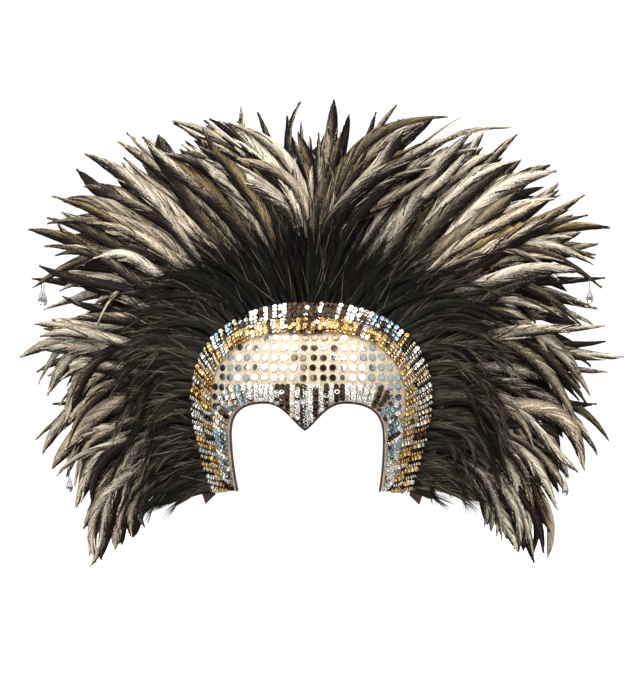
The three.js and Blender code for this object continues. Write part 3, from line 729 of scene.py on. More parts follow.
# Over the brow the strings hang side by side, so only the way across counts there
steps = np.linalg.norm(np.diff(near, axis=0), axis=1)
steps = np.where(over_arch[1:], np.abs(np.diff(near[:, 0])), steps)
run = np.concatenate([[0], np.cumsum(steps)])
stations = np.linspace(BROW_END_GAP, run[-1] - BROW_END_GAP, int(run[-1] / BROW_PITCH))
near = np.stack([np.interp(stations, run, near[:, k]) for k in range(2)], axis=1)
far = np.stack([np.interp(stations, run, far[:, k]) for k in range(2)], axis=1)
rng = np.random.default_rng(31)
odds = blend_odds(np.abs(near[:, 0]), BROW_STOPS) * rng.uniform(*BROW_UNEVEN, (len(near), len(CUP_TONES)))
tilt = np.where(np.abs(near[:, 0]) < BROW_TILT_X, BROW_TILT, SCALE_TILT)
points, tint = strung_cups(near, far, rng, BROW_BULGE, 0.0, tilt, odds)
brow_strings = looped_mesh("brow_sequin_strings", points, tint=tint)
fit_out(brow_strings, cup_film, "silver_sequins", "brow_trim")

# Hackle fan: short, soft, near-black hackles sewn side by side in strips behind the rim. Each has a thin
# shaft, a narrow web and long loose barbs, and the side ones droop outwards. Some side webs have a painted
# sheen and some barbs a painted glint in their colour.
HACKLE_SETS = {
    "hackle_crest": (-28.0, 28.0),
    "hackle_right_1": (28.0, 62.3),
    "hackle_right_2": (62.3, 96.7),
    "hackle_right_3": (96.7, 134.0),
    "hackle_left_1": (-62.3, -28.0),
    "hackle_left_2": (-96.7, -62.3),
    "hackle_left_3": (-134.0, -96.7),
}
# Reach of the hackles at angles from straight up, and the shares of it that single ones have
HACKLE_OUTLINE = ((0.0, 150.0), (40.0, 166.0), (62.0, 178.0), (90.0, 170.0), (131.0, 166.0))
HACKLE_SHORTEST = 0.76
HACKLE_LONGEST = 1.03
HACKLE_ROWS = 14
HACKLE_SPACING_DEG = 1.45
HACKLE_FRONT_Y = -42.6
HACKLE_DEPTH = 3.0
HACKLE_BAR = 6.0
HACKLE_FOOT = 3.0
HACKLE_LEAN = 1.0
HACKLE_LEAN_BACK = 4.5
HACKLE_ARCH = 0.27
HACKLE_DROOP_DEG = 14.0
HACKLE_END_LIFT_DEG = 5.0
HACKLE_KNEE = 0.5
HACKLE_SIDE_KNEE = 0.14
HACKLE_TWIST = 0.35
HACKLE_CURL_RANGE = (-0.06, 0.05)
# Usual deviations of a hackle's root, tip, arch and sway
HACKLE_ROOT_SPREAD = 0.5
HACKLE_TIP_SPREAD = 2.0
HACKLE_ARCH_SPREAD = 0.03
HACKLE_SWAY_SPREAD = 0.015
# A hackle begins to belong to the side, or to the bottom, at FROM, and does so fully OVER degrees later.
SIDE_FROM_DEG = 35.0
SIDE_OVER_DEG = 40.0
BOTTOM_FROM_DEG = 112.0
BOTTOM_OVER_DEG = 18.0
BOTTOM_STRAIGHTNESS = 0.85
MOST_ARCHED_DEG = 100.0
# The side ones gather in tufts. From the first of these angles their roots crowd towards the last.
TUFT_DEG = 10.5
TUFT_PULL = 0.45
TUFT_FULL_DEG = 60.0
CROWD_FROM_DEG = 108.0
CROWD_SPAN_DEG = 26.0
CROWD_POWER = 0.65
LOWEST_TIP_DEG = 129.0
LOWEST_SPREAD_DEG = 9.0
WEB_HALF = 5.0
WEB_THICK = 0.3
WEB_CAMBER = 0.25
WEB_SWEEP = 0.9
WEB_DIMNESS = 0.5
WEB_ROOT_LIGHT = 0.35
# Painted sheen: a paler olive mixed into the colour of some side webs, more often on the right, where more
# light falls.
WEB_SHEEN = np.array([0.105, 0.086, 0.056])
SHEEN_RARITY_LEFT = 2.0
SHEEN_RARITY_RIGHT = 1.1
BARBS_A_SIDE = 24
BARB_WIDTH = 0.55
BARB_LENGTH = 25.0
BARB_SIDE_LOSS = 6.0
BARB_SPREAD_DEG = 20.0
BARB_CLOSING = 0.55
BARB_SHORTENING = 0.35
BARB_BEND = 0.35
BARB_LOFT = 0.12
BARB_STRAY = 0.012
BARB_ANGLE_RANGE = (0.75, 1.25)
BARB_LENGTH_RANGE = (0.75, 1.15)
BARB_TONE_RANGE = (0.5, 1.8)
BARB_PLACES = np.linspace(0.12, 0.995, BARBS_A_SIDE)
BARB_STEPS = np.array([0.0, 0.4, 0.75, 1.0])
BARB_GIRTHS = np.array([1.0, 0.9, 0.6, 0.08])
# Painted glint: share of barbs coloured GLINT at two angles from straight up, and how much more there are
# on each side, more on the right, where more light falls
GLINT = (0.26, 0.22, 0.15)
GLINT_DEG = (30, 75)
GLINT_SHARE = (0.04, 0.20)
GLINT_MORE_LEFT = 2.5
GLINT_MORE_RIGHT = 3.6
HACKLE_TONE_SHARES = (0.3, 0.4, 0.12, 0.18)
HACKLE_TONES = np.array(
    [
        (0.004, 0.003, 0.003),
        (0.009, 0.009, 0.005),
        (0.013, 0.005, 0.004),
        (0.008, 0.006, 0.005),
    ]
)


def feather_lines(spec, rows):
    """Middle lines of feathers: in the front view a curve from (root, foot) to (tip, reach) that bows
    upwards by arch times its length, most at the share knee of it, and sways by a sine wave of the height
    sway. It is laid on a cone that leans back from the plane y, and curled back at the tip. Returns points
    and unit directions, [feather, row], and each feather's length."""
    side = np.where(spec["root"] + spec["tip"] < 0, -1.0, 1.0)
    start = polar(spec["root"], spec["foot"])
    end = polar(spec["tip"], spec["reach"])
    chord = end - start
    length = np.linalg.norm(chord, axis=1)
    up = np.stack([-chord[:, 1], chord[:, 0]], axis=1) * side[:, None]
    control = start + chord * spec["knee"][:, None] + up * 2 * spec["arch"][:, None]
    u = np.linspace(0, 1, rows)[None, :, None]
    line = (1 - u) ** 2 * start[:, None] + 2 * u * (1 - u) * control[:, None] + u**2 * end[:, None]
    line = line + up[:, None] * spec["sway"][:, None, None] * np.sin(2 * np.pi * u) * u
    out = np.hypot(line[..., 0], line[..., 1] - widest_z) - spec["foot"][:, None]
    u = u[..., 0]
    depth = spec["y"][:, None] + np.tan(np.radians(spec["lean"]))[:, None] * np.maximum(out, 0)
    depth = depth + (spec["curl"] * length)[:, None] * u**3
    points = np.stack([line[..., 0], depth, line[..., 1]], axis=-1)
    along = np.gradient(points, axis=1)
    along /= np.linalg.norm(along, axis=-1, keepdims=True)
    return points, along, length


def feather_axes(along, twist):
    """Unit directions across and out of a blade that faces the front, turned about its shaft by twist."""
    face = FORWARD - along * -along[..., 1:2]
    face /= np.linalg.norm(face, axis=-1, keepdims=True)
    across = np.cross(along, face)
    cosine = np.cos(twist)[..., None]
    sine = np.sin(twist)[..., None]
    return across * cosine - face * sine, face * cosine + across * sine


BLADE_ACROSS = np.array([-1.0, -0.5, 0.0, 0.5, 1.0, 0.5, 0.0, -0.5])
BLADE_FACE = np.array([0.0, 0.5, 1.0, 0.5, 0.0, -0.5, -1.0, -0.5])
CAMBER_POWER = 1.4


def blades(points, along, half, twist, thick, camber, sweep):
    """Closed leaf-shaped blades on middle lines. half is the half width [feather, row, side of shaft], the
    edges sweep forwards like barbs, and the vanes fall back from the shaft by camber times width."""
    across, face = feather_axes(along, twist)
    v = BLADE_ACROSS[None, None, :]
    width = np.where(v < 0, half[..., :1], half[..., 1:])
    sideways = (v * width)[..., None] * across[:, :, None]
    forwards = (np.abs(v) * width * sweep)[..., None] * along[:, :, None]
    outwards = (BLADE_FACE * thick / 2 - camber[:, None, None] * np.abs(v) ** CAMBER_POWER * width)[..., None]
    return points[:, :, None] + sideways + forwards + outwards * face[:, :, None]


def barb_bodies(points, along, twist, length, rng):
    """Loose barbs on both sides of shafts: three-sided spindles that leave the shaft at an angle and bend
    towards the tip, one body for each feather, place along the shaft and side."""
    feathers, rows, _ = points.shape
    each = (feathers, BARBS_A_SIDE, 2, 1)
    place = BARB_PLACES[None, :] + rng.normal(0, BARB_STRAY, (feathers, BARBS_A_SIDE))
    place = np.clip(place, 0, 1) * (rows - 1)
    low = np.minimum(place.astype(int), rows - 2)
    part = (place - low)[..., None]
    pick = np.arange(feathers)[:, None]
    root = points[pick, low] * (1 - part) + points[pick, low + 1] * part
    ahead = along[pick, low]
    across, face = feather_axes(ahead, np.broadcast_to(twist[:, None], place.shape))
    side = np.array([-1.0, 1.0])[None, None, :, None]
    angle = np.radians(BARB_SPREAD_DEG * (1 - BARB_CLOSING * place / (rows - 1)))[..., None, None]
    angle = angle * rng.uniform(*BARB_ANGLE_RANGE, each)
    long = (length * (1 - BARB_SHORTENING * (place / (rows - 1)) ** 3))[..., None, None]
    long = long * rng.uniform(*BARB_LENGTH_RANGE, each)
    heading = np.cos(angle) * ahead[:, :, None] + side * np.sin(angle) * across[:, :, None]
    heading = heading + rng.normal(0, BARB_LOFT, each) * face[:, :, None]
    u = BARB_STEPS
    bend = ahead[:, :, None, None] * (BARB_BEND * u**2)[:, None]
    body = root[:, :, None, None] + long[..., None, :] * (heading[..., None, :] * u[:, None] + bend)
    body = body.reshape(-1, len(u), 3)
    run = np.gradient(body, axis=1)
    run /= np.linalg.norm(run, axis=-1, keepdims=True)
    broad = np.cross(run, FORWARD)
    broad /= np.linalg.norm(broad, axis=-1, keepdims=True)
    deep = np.cross(run, broad)
    radius = BARB_WIDTH / 2 * BARB_GIRTHS[None, :, None, None]
    turn = np.arange(3) * 2 * np.pi / 3
    ring = np.cos(turn)[:, None] * broad[:, :, None] + np.sin(turn)[:, None] * deep[:, :, None]
    return body[:, :, None] + radius * ring


def hackle_specs(first, last, rng):
    """Hackles at even steps from first to last degrees: the side ones arch, droop and gather in tufts,
    and the lowest keep close to the cheek. Returns their measures, their angle from straight up and how
    far to the side they belong, from 0 to 1."""
    count = int(round((last - first) / HACKLE_SPACING_DEG))
    root = first + (np.arange(count) + 0.5) * (last - first) / count
    root = root + rng.normal(0, HACKLE_ROOT_SPREAD, count)
    crowd = np.clip((np.abs(root) - CROWD_FROM_DEG) / CROWD_SPAN_DEG, 0, 1)
    crowded = CROWD_FROM_DEG + CROWD_SPAN_DEG * crowd**CROWD_POWER
    from_top = np.where(crowd > 0, crowded, np.abs(root))
    root = np.sign(root) * from_top
    layer = rng.uniform(0, 1, count)
    lateral = np.clip((from_top - SIDE_FROM_DEG) / SIDE_OVER_DEG, 0, 1)
    bottom = np.clip((from_top - BOTTOM_FROM_DEG) / BOTTOM_OVER_DEG, 0, 1)
    tuft = (np.floor(from_top / TUFT_DEG) + 0.5) * TUFT_DEG
    gather = TUFT_PULL * np.clip(from_top / TUFT_FULL_DEG, 0, 1) * (1 - bottom)
    droop = HACKLE_DROOP_DEG * np.sin(np.pi * np.clip(from_top / RIM_END, 0, 1))
    droop = droop - HACKLE_END_LIFT_DEG * (from_top / RIM_END) ** 3
    tip = np.sign(root) * (from_top + gather * (tuft - from_top) + droop)
    tip = tip + rng.normal(0, HACKLE_TIP_SPREAD, count)
    lowest = LOWEST_TIP_DEG - LOWEST_SPREAD_DEG * bottom * rng.random(count)
    tip = np.clip(tip, -lowest, lowest)
    reach = np.interp(np.abs(tip), *zip(*HACKLE_OUTLINE))
    reach = reach * rng.uniform(HACKLE_SHORTEST, HACKLE_LONGEST, count)
    arch = HACKLE_ARCH * np.sin(np.radians(np.minimum(from_top, MOST_ARCHED_DEG))) ** 1.5
    arch = arch + rng.normal(0, HACKLE_ARCH_SPREAD, count)
    spec = {
        "root": root,
        "tip": tip,
        "foot": rim_radius(root, RIM_Y + HACKLE_BAR) - HACKLE_FOOT,
        "reach": reach,
        "arch": arch * (1 - BOTTOM_STRAIGHTNESS * bottom),
        "sway": rng.normal(0, HACKLE_SWAY_SPREAD, count),
        "y": HACKLE_FRONT_Y + HACKLE_DEPTH * layer,
        "lean": HACKLE_LEAN + HACKLE_LEAN_BACK * layer,
        "curl": rng.uniform(*HACKLE_CURL_RANGE, count),
        "knee": HACKLE_KNEE + HACKLE_SIDE_KNEE * lateral,
    }
    return spec, from_top, lateral


hackle_gloss, nodes, links, shader = new_material("hackle_gloss", Roughness=0.42, Specular_IOR_Level=0.2)
film = nodes.new("ShaderNodeAttribute")
film.attribute_name = "tint"
links.new(film.outputs["Color"], shader.inputs["Base Color"])

for node, (first, last) in HACKLE_SETS.items():
    rng = np.random.default_rng(100 + abs(int(first + last)))
    spec, from_top, lateral = hackle_specs(first, last, rng)
    on_right = spec["root"] > 0
    count = len(from_top)
    points, along, _ = feather_lines(spec, HACKLE_ROWS)
    twist = rng.normal(0, HACKLE_TWIST, count)
    u = np.linspace(0, 1, HACKLE_ROWS)
    web = WEB_HALF * (0.8 + 0.2 * np.sin(np.pi * u)) * (1 - u**3) ** 0.8
    half = np.broadcast_to(web[None, :, None], (count, HACKLE_ROWS, 2))
    turn = np.repeat(twist[:, None], HACKLE_ROWS, axis=1)
    webs = blades(points, along, half, turn, WEB_THICK, np.full(count, WEB_CAMBER), WEB_SWEEP)
    tone = HACKLE_TONES[rng.choice(len(HACKLE_TONES), count, p=HACKLE_TONE_SHARES)]
    # Painted sheen: some side webs are mixed towards WEB_SHEEN, more often on the right.
    rarity = np.where(on_right, SHEEN_RARITY_RIGHT, SHEEN_RARITY_LEFT)
    sheen = (lateral * rng.random(count) ** rarity)[:, None]
    web_tone = opaque(tone * WEB_DIMNESS * (1 - sheen) + WEB_SHEEN * sheen)
    web_light = (WEB_ROOT_LIGHT + (1 - WEB_ROOT_LIGHT) * u)[:, None]
    web_tint = point_tint(web_tone[:, None] * web_light, webs)
    web_piece = looped_mesh(node.replace("hackle", "hackle_webs"), webs, tint=web_tint)
    fit_out(web_piece, hackle_gloss, "hackle_feathers", node)

    barb_length = (BARB_LENGTH - BARB_SIDE_LOSS * lateral)[:, None]
    barbs = barb_bodies(points, along, twist, barb_length, rng)
    # Painted glint: some barbs take the pale GLINT colour in place of their own tone.
    more = np.where(on_right, GLINT_MORE_RIGHT, GLINT_MORE_LEFT)
    share = np.interp(from_top, GLINT_DEG, GLINT_SHARE) * more * rng.random(count) ** 1.5
    glint = rng.random((len(barbs), 1)) < np.repeat(share, BARBS_A_SIDE * 2)[:, None]
    tone = np.repeat(tone, BARBS_A_SIDE * 2, axis=0) * rng.uniform(*BARB_TONE_RANGE, (len(barbs), 1))
    barb_tint = point_tint(opaque(np.where(glint, GLINT, tone)), barbs)
    barb_piece = looped_mesh(node.replace("hackle", "hackle_barbs"), barbs, tint=barb_tint)
    fit_out(barb_piece, hackle_gloss, "hackle_feathers")

# Tail-feather fan: long stiff coque feathers sewn in strips behind the tape, dark brown and sprayed from
# the front with silver and gold. The lower vane and the root of each are darker: painted shade, partly also
# less spray.
FAN_REACH = 261.0
COQUE_WIDTH = 17.0
BAR_REAR_Y = -35.7
BAR_FOOT = 1.0
LAYERS = 6
LAYER_DEPTH = 3.2
LAYER_GAP = 0.6
COQUE_LEAN = 8.0
COQUE_LEAN_STEP = 2.2
COQUE_ROWS = 22
# root and tip are degrees from straight up, reach and width are shares of FAN_REACH and COQUE_WIDTH,
# arch is the bow upwards as a share of the length, row is the layer from the front, and tone is the spray.
COQUE_COLUMNS = ("root", "tip", "reach", "width", "arch", "row", "tone")
COQUE = {
    "crest": (
        (1, 3.5, 1.00, 0.8, 0.02, 1, 1),
        (2, 6.5, 0.96, 0.7, 0.02, 2, 4),
        (4, 11.5, 0.98, 0.6, 0.04, 1, 3),
        (6, 15, 1.02, 0.6, 0.05, 2, 0),
        (3, 21, 0.89, 1.0, 0.16, 0, 2),
        (6, 17.5, 0.80, 0.8, 0.10, 0, 3),
        (5, 19.5, 0.93, 0.8, 0.14, 1, 4),
        (9, 22.5, 1.02, 1.0, 0.12, 2, 1),
    ),
    "shoulder": (
        (13, 25.5, 0.87, 0.9, 0.12, 3, 4),
        (15, 27, 0.95, 1.0, 0.10, 4, 0),
        (20, 31.5, 1.05, 1.3, 0.05, 3, 0),
        (26, 36.5, 1.11, 0.7, 0.03, 5, 1),
        (29, 37, 1.02, 1.1, 0.04, 4, 3),
        (31, 40, 1.05, 1.3, 0.04, 3, 0),
        (35, 42.5, 1.04, 0.8, 0.05, 5, 2),
        (38, 48, 1.08, 1.3, 0.05, 4, 1),
    ),
    "side": (
        (43, 52.5, 1.12, 1.0, 0.05, 1, 2),
        (45, 54, 1.05, 0.7, 0.06, 2, 0),
        (49, 56, 1.09, 0.7, 0.05, 0, 3),
        (51, 59.5, 1.13, 1.0, 0.06, 1, 2),
        (53, 61, 1.07, 0.8, 0.08, 2, 1),
        (46, 68.5, 1.02, 0.7, 0.25, 0, 3),
        (58, 67, 1.04, 0.6, 0.12, 1, 4),
        (58, 72, 0.98, 1.1, 0.20, 2, 0),
    ),
    "flank": (
        (70, 78.5, 0.98, 0.6, 0.06, 5, 4),
        (72, 82, 1.03, 1.0, 0.07, 4, 0),
        (76, 84.5, 0.97, 0.7, 0.08, 5, 1),
        (64, 89, 0.91, 1.2, 0.27, 3, 0),
        (72, 88, 0.85, 1.1, 0.22, 4, 3),
        (86, 91, 0.91, 0.6, 0.08, 5, 4),
        (86, 98, 0.98, 0.6, 0.10, 5, 3),
        (82, 101, 0.95, 1.0, 0.18, 3, 0),
    ),
    "tail": (
        (88, 104.5, 0.92, 1.1, 0.16, 0, 1),
        (90, 107, 0.88, 1.2, 0.18, 1, 0),
        (96, 110.5, 0.86, 0.9, 0.16, 2, 3),
        (98, 114, 0.88, 1.1, 0.18, 0, 0),
        (104, 119, 0.89, 1.1, 0.20, 1, 1),
        (106, 124.5, 0.93, 1.2, 0.22, 2, 0),
        (112, 127, 0.90, 1.1, 0.20, 0, 3),
        (118, 129, 0.84, 1.1, 0.14, 1, 0),
    ),
}
# Spray tones: red, green, blue, and how much of the feather the spray covers
SPRAY = np.array(
    [
        (0.88, 0.77, 0.60, 0.72),
        (0.76, 0.62, 0.44, 0.64),
        (0.44, 0.31, 0.14, 0.56),
        (0.36, 0.29, 0.17, 0.50),
        (0.26, 0.20, 0.15, 0.26),
    ]
)
SPRAY_SHARES = (0.40, 0.30, 0.10, 0.12, 0.08)
DARK_TONE = 4
# Reach of the fan at angles from straight up, as a share of FAN_REACH
FAN_OUTLINE = (
    (0, 0.94),
    (10, 0.90),
    (20, 0.98),
    (32, 1.08),
    (48, 1.12),
    (58, 1.07),
    (70, 0.99),
    (80, 0.97),
    (92, 0.91),
    (105, 0.91),
    (120, 0.93),
)
# Each listed feather has companions: dark ones under it, at the back, partly painted shade between the
# feathers, and shorter sprayed ones before and beside it.
# SPREADs are the usual deviation of one feather from the next, RANGEs the least and most.
COMPANIONS = 7
UNDERLAYERS = 3
ROOT_SPREAD = 2.0
TIP_SPREAD = 4.5
UNDER_SPREAD = 1.6
LAST_TIP_DEG = 126.5
UNDER_SHORTER_RANGE = (0.04, 0.22)
FRONT_SHORTER_RANGE = (-0.03, 0.20)
HOOKED_SHORTER_RANGE = (0.0, 0.08)
NARROWER_RANGE = (-0.1, 0.3)
EVEN_WIDTH = 0.45
SLIM_FROM_DEG = 70.0
SLIM_OVER_DEG = 30.0
LOW_SLIMNESS = 0.34
ARCH_MORE = 0.02
ARCH_SPREAD = 0.04
HOOKED_ARCH_RANGE = (0.0, 0.08)
MOST_ARCH = 0.25
SIDE_KNEE_RANGE = (0.52, 0.68)
# Some of the side feathers stray: they stand almost straight out over the drooping ones.
STRAY_FROM_DEG = 55.0
STRAY_TO_DEG = 108.0
STRAY_SHARE = 0.4
STRAY_ROOT_RANGE = (1, 8)
STRAY_ARCH_RANGE = (0.0, 0.12)
# The lowest keep their roots and bows within these
LOWEST_ROOT_DEG = 116.0
LOWEST_ARCH_RANGE = (0.05, 0.20)
UNDER_BACK_RANGE = (0.5, 2.5)
FRONT_AHEAD_RANGE = (-1.0, 2.6)
UNDER_DEPTH_RANGE = (0.6, 3.0)
UNDER_TILT_RANGE = (0.0, 2.0)
FRONT_TILT_RANGE = (-1.0, 4.5)
TWIST_SPREAD = 0.28
SWAY_SPREAD = 0.035
CURL_RANGE = (-0.06, 0.10)
# Blunt feathers end round, and some of these have a dark eye. A higher point power is a rounder tip.
BLUNT_SHARE = 0.22
BLUNT_POINT_RANGE = (6.0, 9.0)
SHARP_POINT_RANGE = (2.3, 5.0)
EYE_RANGE = (0.1, 0.5)


def coque_lines(rows, side, rng):
    """Where the listed feathers of a strip and their companions lie. Returns their measures, each one's
    rank behind its listed feather, and which are under feathers."""
    listed = np.array(rows, dtype=float)
    copies = COMPANIONS + 1
    rank = np.tile(np.arange(copies), len(listed))
    count = len(rank)
    spec = dict(zip(COQUE_COLUMNS, np.repeat(listed, copies, axis=0).T.copy()))
    under = (rank > 0) & (rank <= UNDERLAYERS)
    loose = np.where(rank > 0, 1.0, 0.0)
    spread = loose * np.where(under, UNDER_SPREAD, 1.0)
    spec["root"] = (spec["root"] + spread * rng.normal(0, ROOT_SPREAD, count)) * side
    spec["tip"] = np.minimum(spec["tip"] + spread * rng.normal(0, TIP_SPREAD, count), LAST_TIP_DEG) * side
    under_shorter = rng.uniform(*UNDER_SHORTER_RANGE, count)
    shorter = np.where(under, under_shorter, rng.uniform(*FRONT_SHORTER_RANGE, count))
    middling = np.where(rank > 0, EVEN_WIDTH + (1 - EVEN_WIDTH) * spec["width"], spec["width"])
    from_top = np.abs(spec["tip"])
    slim = LOW_SLIMNESS * np.clip((from_top - SLIM_FROM_DEG) / SLIM_OVER_DEG, 0, 1)
    spec["width"] = COQUE_WIDTH * middling * (1 - loose * rng.uniform(*NARROWER_RANGE, count))
    spec["width"] = spec["width"] * (1 - np.where((rank > 0) & ~under, slim, 0.0))

    lateral = (rank > 0) & (from_top > STRAY_FROM_DEG)
    stray = lateral & ~under & (from_top < STRAY_TO_DEG) & (rng.random(count) < STRAY_SHARE)
    hooked = lateral & ~stray
    lowest = (rank > 0) & (from_top > STRAY_TO_DEG)
    spec["root"] = np.where(stray, spec["tip"] - side * rng.uniform(*STRAY_ROOT_RANGE, count), spec["root"])
    bow = spec["arch"] + loose * rng.normal(ARCH_MORE, ARCH_SPREAD, count)
    bow = np.minimum(bow + hooked * rng.uniform(*HOOKED_ARCH_RANGE, count), MOST_ARCH)
    spec["arch"] = np.where(stray, rng.uniform(*STRAY_ARCH_RANGE, count), bow)
    spec["root"] = np.where(lowest, side * np.minimum(np.abs(spec["root"]), LOWEST_ROOT_DEG), spec["root"])
    spec["arch"] = np.where(lowest, np.clip(spec["arch"], *LOWEST_ARCH_RANGE), spec["arch"])
    spec["knee"] = np.where(lateral, rng.uniform(*SIDE_KNEE_RANGE, count), 0.5)
    shorter = shorter + hooked * rng.uniform(*HOOKED_SHORTER_RANGE, count)
    outline = np.interp(from_top, *zip(*FAN_OUTLINE)) * (1 - shorter)
    spec["reach"] = FAN_REACH * np.where(rank > 0, outline, spec["reach"])
    return spec, rank, under


def coque_specs(rows, side, rng):
    """All measures of a strip's feathers: their lines, then their layer, lean, spray, twist and tip.
    Returns them, and which feathers lie in front of the under ones."""
    spec, rank, under = coque_lines(rows, side, rng)
    count = len(rank)
    loose = np.where(rank > 0, 1.0, 0.0)
    deepest = LAYER_DEPTH * LAYERS
    back = rng.uniform(*UNDER_BACK_RANGE, count)
    shift = np.where(under, back, -rng.uniform(*FRONT_AHEAD_RANGE, count))
    depth = np.clip(LAYER_DEPTH * (spec["row"] + 0.5) + loose * shift, LAYER_GAP, deepest - LAYER_GAP)
    depth = np.where(under, deepest - rng.uniform(*UNDER_DEPTH_RANGE, count), depth)
    back_tilt = rng.uniform(*UNDER_TILT_RANGE, count)
    tilt = np.where(under, back_tilt, -rng.uniform(*FRONT_TILT_RANGE, count))
    spec["lean"] = COQUE_LEAN + COQUE_LEAN_STEP * np.where(under, LAYERS - 1, spec["row"]) + loose * tilt
    tone = rng.choice(len(SPRAY), count, p=SPRAY_SHARES)
    # Under feathers take the dark tone: partly painted shade in the gaps between the sprayed ones.
    spec["tone"] = np.where(rank == 0, spec["tone"], np.where(under, DARK_TONE, tone))
    spec["twist"] = rng.normal(0.0, TWIST_SPREAD, count) * side
    spec["curl"] = rng.uniform(*CURL_RANGE, count)
    blunt = (rng.random(count) < BLUNT_SHARE) & (np.abs(spec["tip"]) < STRAY_FROM_DEG)
    round_point = rng.uniform(*BLUNT_POINT_RANGE, count)
    spec["point"] = np.where(blunt, round_point, rng.uniform(*SHARP_POINT_RANGE, count))
    spec["eye"] = np.where(blunt, rng.uniform(*EYE_RANGE, count), 0.0)
    spec["sway"] = rng.normal(0, SWAY_SPREAD, count)
    spec["foot"] = rim_radius(spec["root"], BAR_REAR_Y) + BAR_FOOT
    spec["y"] = BAR_REAR_Y + depth
    return spec, ~under


COQUE_THICK = 0.4
LEAST_HALF = 0.05
ROOT_WIDTH_SHARE = 0.3
WIDEST_AT = 0.6
TAPER_ROUNDNESS = 0.8
VANE_UNEVEN_RANGE = (0.8, 1.2)
EDGE_WEAR = 0.03
CAMBER_RANGE = (0.2, 0.6)
TURN_SHARE = 0.6
TURN_PACE = 5
BARB_SWEEP = 0.9
PATTERN_SHIFT = 50
TONE_RANGE = (0.8, 1.15)
COVER_SPREAD = 0.07
# Darker outside the shoulders, and darkest on the crest: the spray's cover is cut there
SHOULDER_DEG = 35
SHOULDER_HALF_DEG = 20
OUTSIDE_LESS = 0.06
CREST_DEG = 15
CREST_LESS = 0.05
# The spray's cover is cut on the lower vane and at the root, painted shade that partly also stands for less
# spray, and on a blunt feather's eye
VANE_SHADE = 0.50
VANE_STEEP = 4
VANE_MIDDLE = 0.55
ROOT_SHADE = 0.4
EYE_FROM = 0.8
EYE_OVER = 0.1


def coque_blades(spec, side, rng):
    """Leaf-shaped blades folded back from the shaft like a shallow roof. Returns their points, texture
    places and tints, and the measures that the locks of barbs need."""
    count = len(spec["root"])
    points, along, length = feather_lines(spec, COQUE_ROWS)
    u = np.linspace(0, 1, COQUE_ROWS)[None, :]
    grow = ROOT_WIDTH_SHARE + (1 - ROOT_WIDTH_SHARE) * np.sin(np.clip(u / WIDEST_AT, 0, 1) * np.pi / 2)
    taper = (1 - u ** spec["point"][:, None]) ** TAPER_ROUNDNESS
    half = (spec["width"] / 2)[:, None] * grow * taper + LEAST_HALF
    uneven = rng.uniform(*VANE_UNEVEN_RANGE, (count, 1))
    vanes = np.stack([half * uneven, half * (2 - uneven)], axis=-1)
    vanes = vanes * (1 - EDGE_WEAR * rng.random(vanes.shape))
    wave = TURN_SHARE * np.sin(u * TURN_PACE + spec["point"][:, None])
    turn = spec["twist"][:, None] * (1 + wave)
    camber = rng.uniform(*CAMBER_RANGE, count)
    body = blades(points, along, vanes, turn, COQUE_THICK, camber, BARB_SWEEP)
    offset = rng.uniform(0, PATTERN_SHIFT, count)
    across = np.broadcast_to(0.5 + 0.5 * BLADE_ACROSS * side, body.shape[:3])
    run = (u * length[:, None] / UV_UNIT + offset[:, None])[..., None]
    uv = np.stack(np.broadcast_arrays(run, across), axis=-1)

    tone = SPRAY[spec["tone"].astype(int)].copy()
    tone[:, :3] *= rng.uniform(*TONE_RANGE, (count, 1))
    from_top = np.abs(spec["tip"])
    less = OUTSIDE_LESS * (np.abs(from_top - SHOULDER_DEG) > SHOULDER_HALF_DEG)
    less = less + CREST_LESS * (from_top < CREST_DEG)
    tone[:, 3] += rng.normal(0, COVER_SPREAD, count) - less
    tint = np.broadcast_to(tone[:, None, None, :], (*body.shape[:3], 4)).copy()
    # Painted shade: less cover on the lower vane and towards the root.
    lower = 0.5 + 0.5 * np.tanh(VANE_STEEP * (across - VANE_MIDDLE))
    eye = spec["eye"][:, None, None] * np.clip((u[..., None] - EYE_FROM) / EYE_OVER, 0, 1)
    tint[..., 3] -= VANE_SHADE * lower + ROOT_SHADE * (1 - u[..., None]) ** 2 + eye
    form = {
        "points": points,
        "along": along,
        "length": length,
        "vanes": vanes,
        "turn": turn,
        "camber": camber,
        "offset": offset,
        "tone": tone,
        "width": spec["width"],
        "eye": spec["eye"],
    }
    return (body, uv, tint), form


LOCKS_A_SIDE = 18
LOCK_STEPS = np.array([0.0, 0.35, 0.7, 1.0])
LOCK_WIDTHS = np.array([0.75, 1.0, 0.8, 0.06])
LOCK_FROM = 0.13
LOCK_OVER = 0.84
LOCK_LIMITS = (0.08, 0.985)
LOCK_STRAY = 0.02
LOCK_STRETCH_RANGE = (0.075, 0.15)
LOCK_BEGIN_RANGE = (0.05, 0.6)
LOCK_FINISH_RANGE = (0.82, 1.18)
LOCK_LIFT_RANGE = (0.25, 0.75)
LOCK_WIDTH_RANGE = (0.35, 0.95)
LOCK_LEAST_OUT = 0.05
LOCK_FLATNESS = 0.22
LOCK_SKEW = 0.25
LOCK_TONE_RANGE = (0.5, 1.5)
LOCK_COVER_SPREAD = 0.28
LOCK_EYE_FROM = 0.75


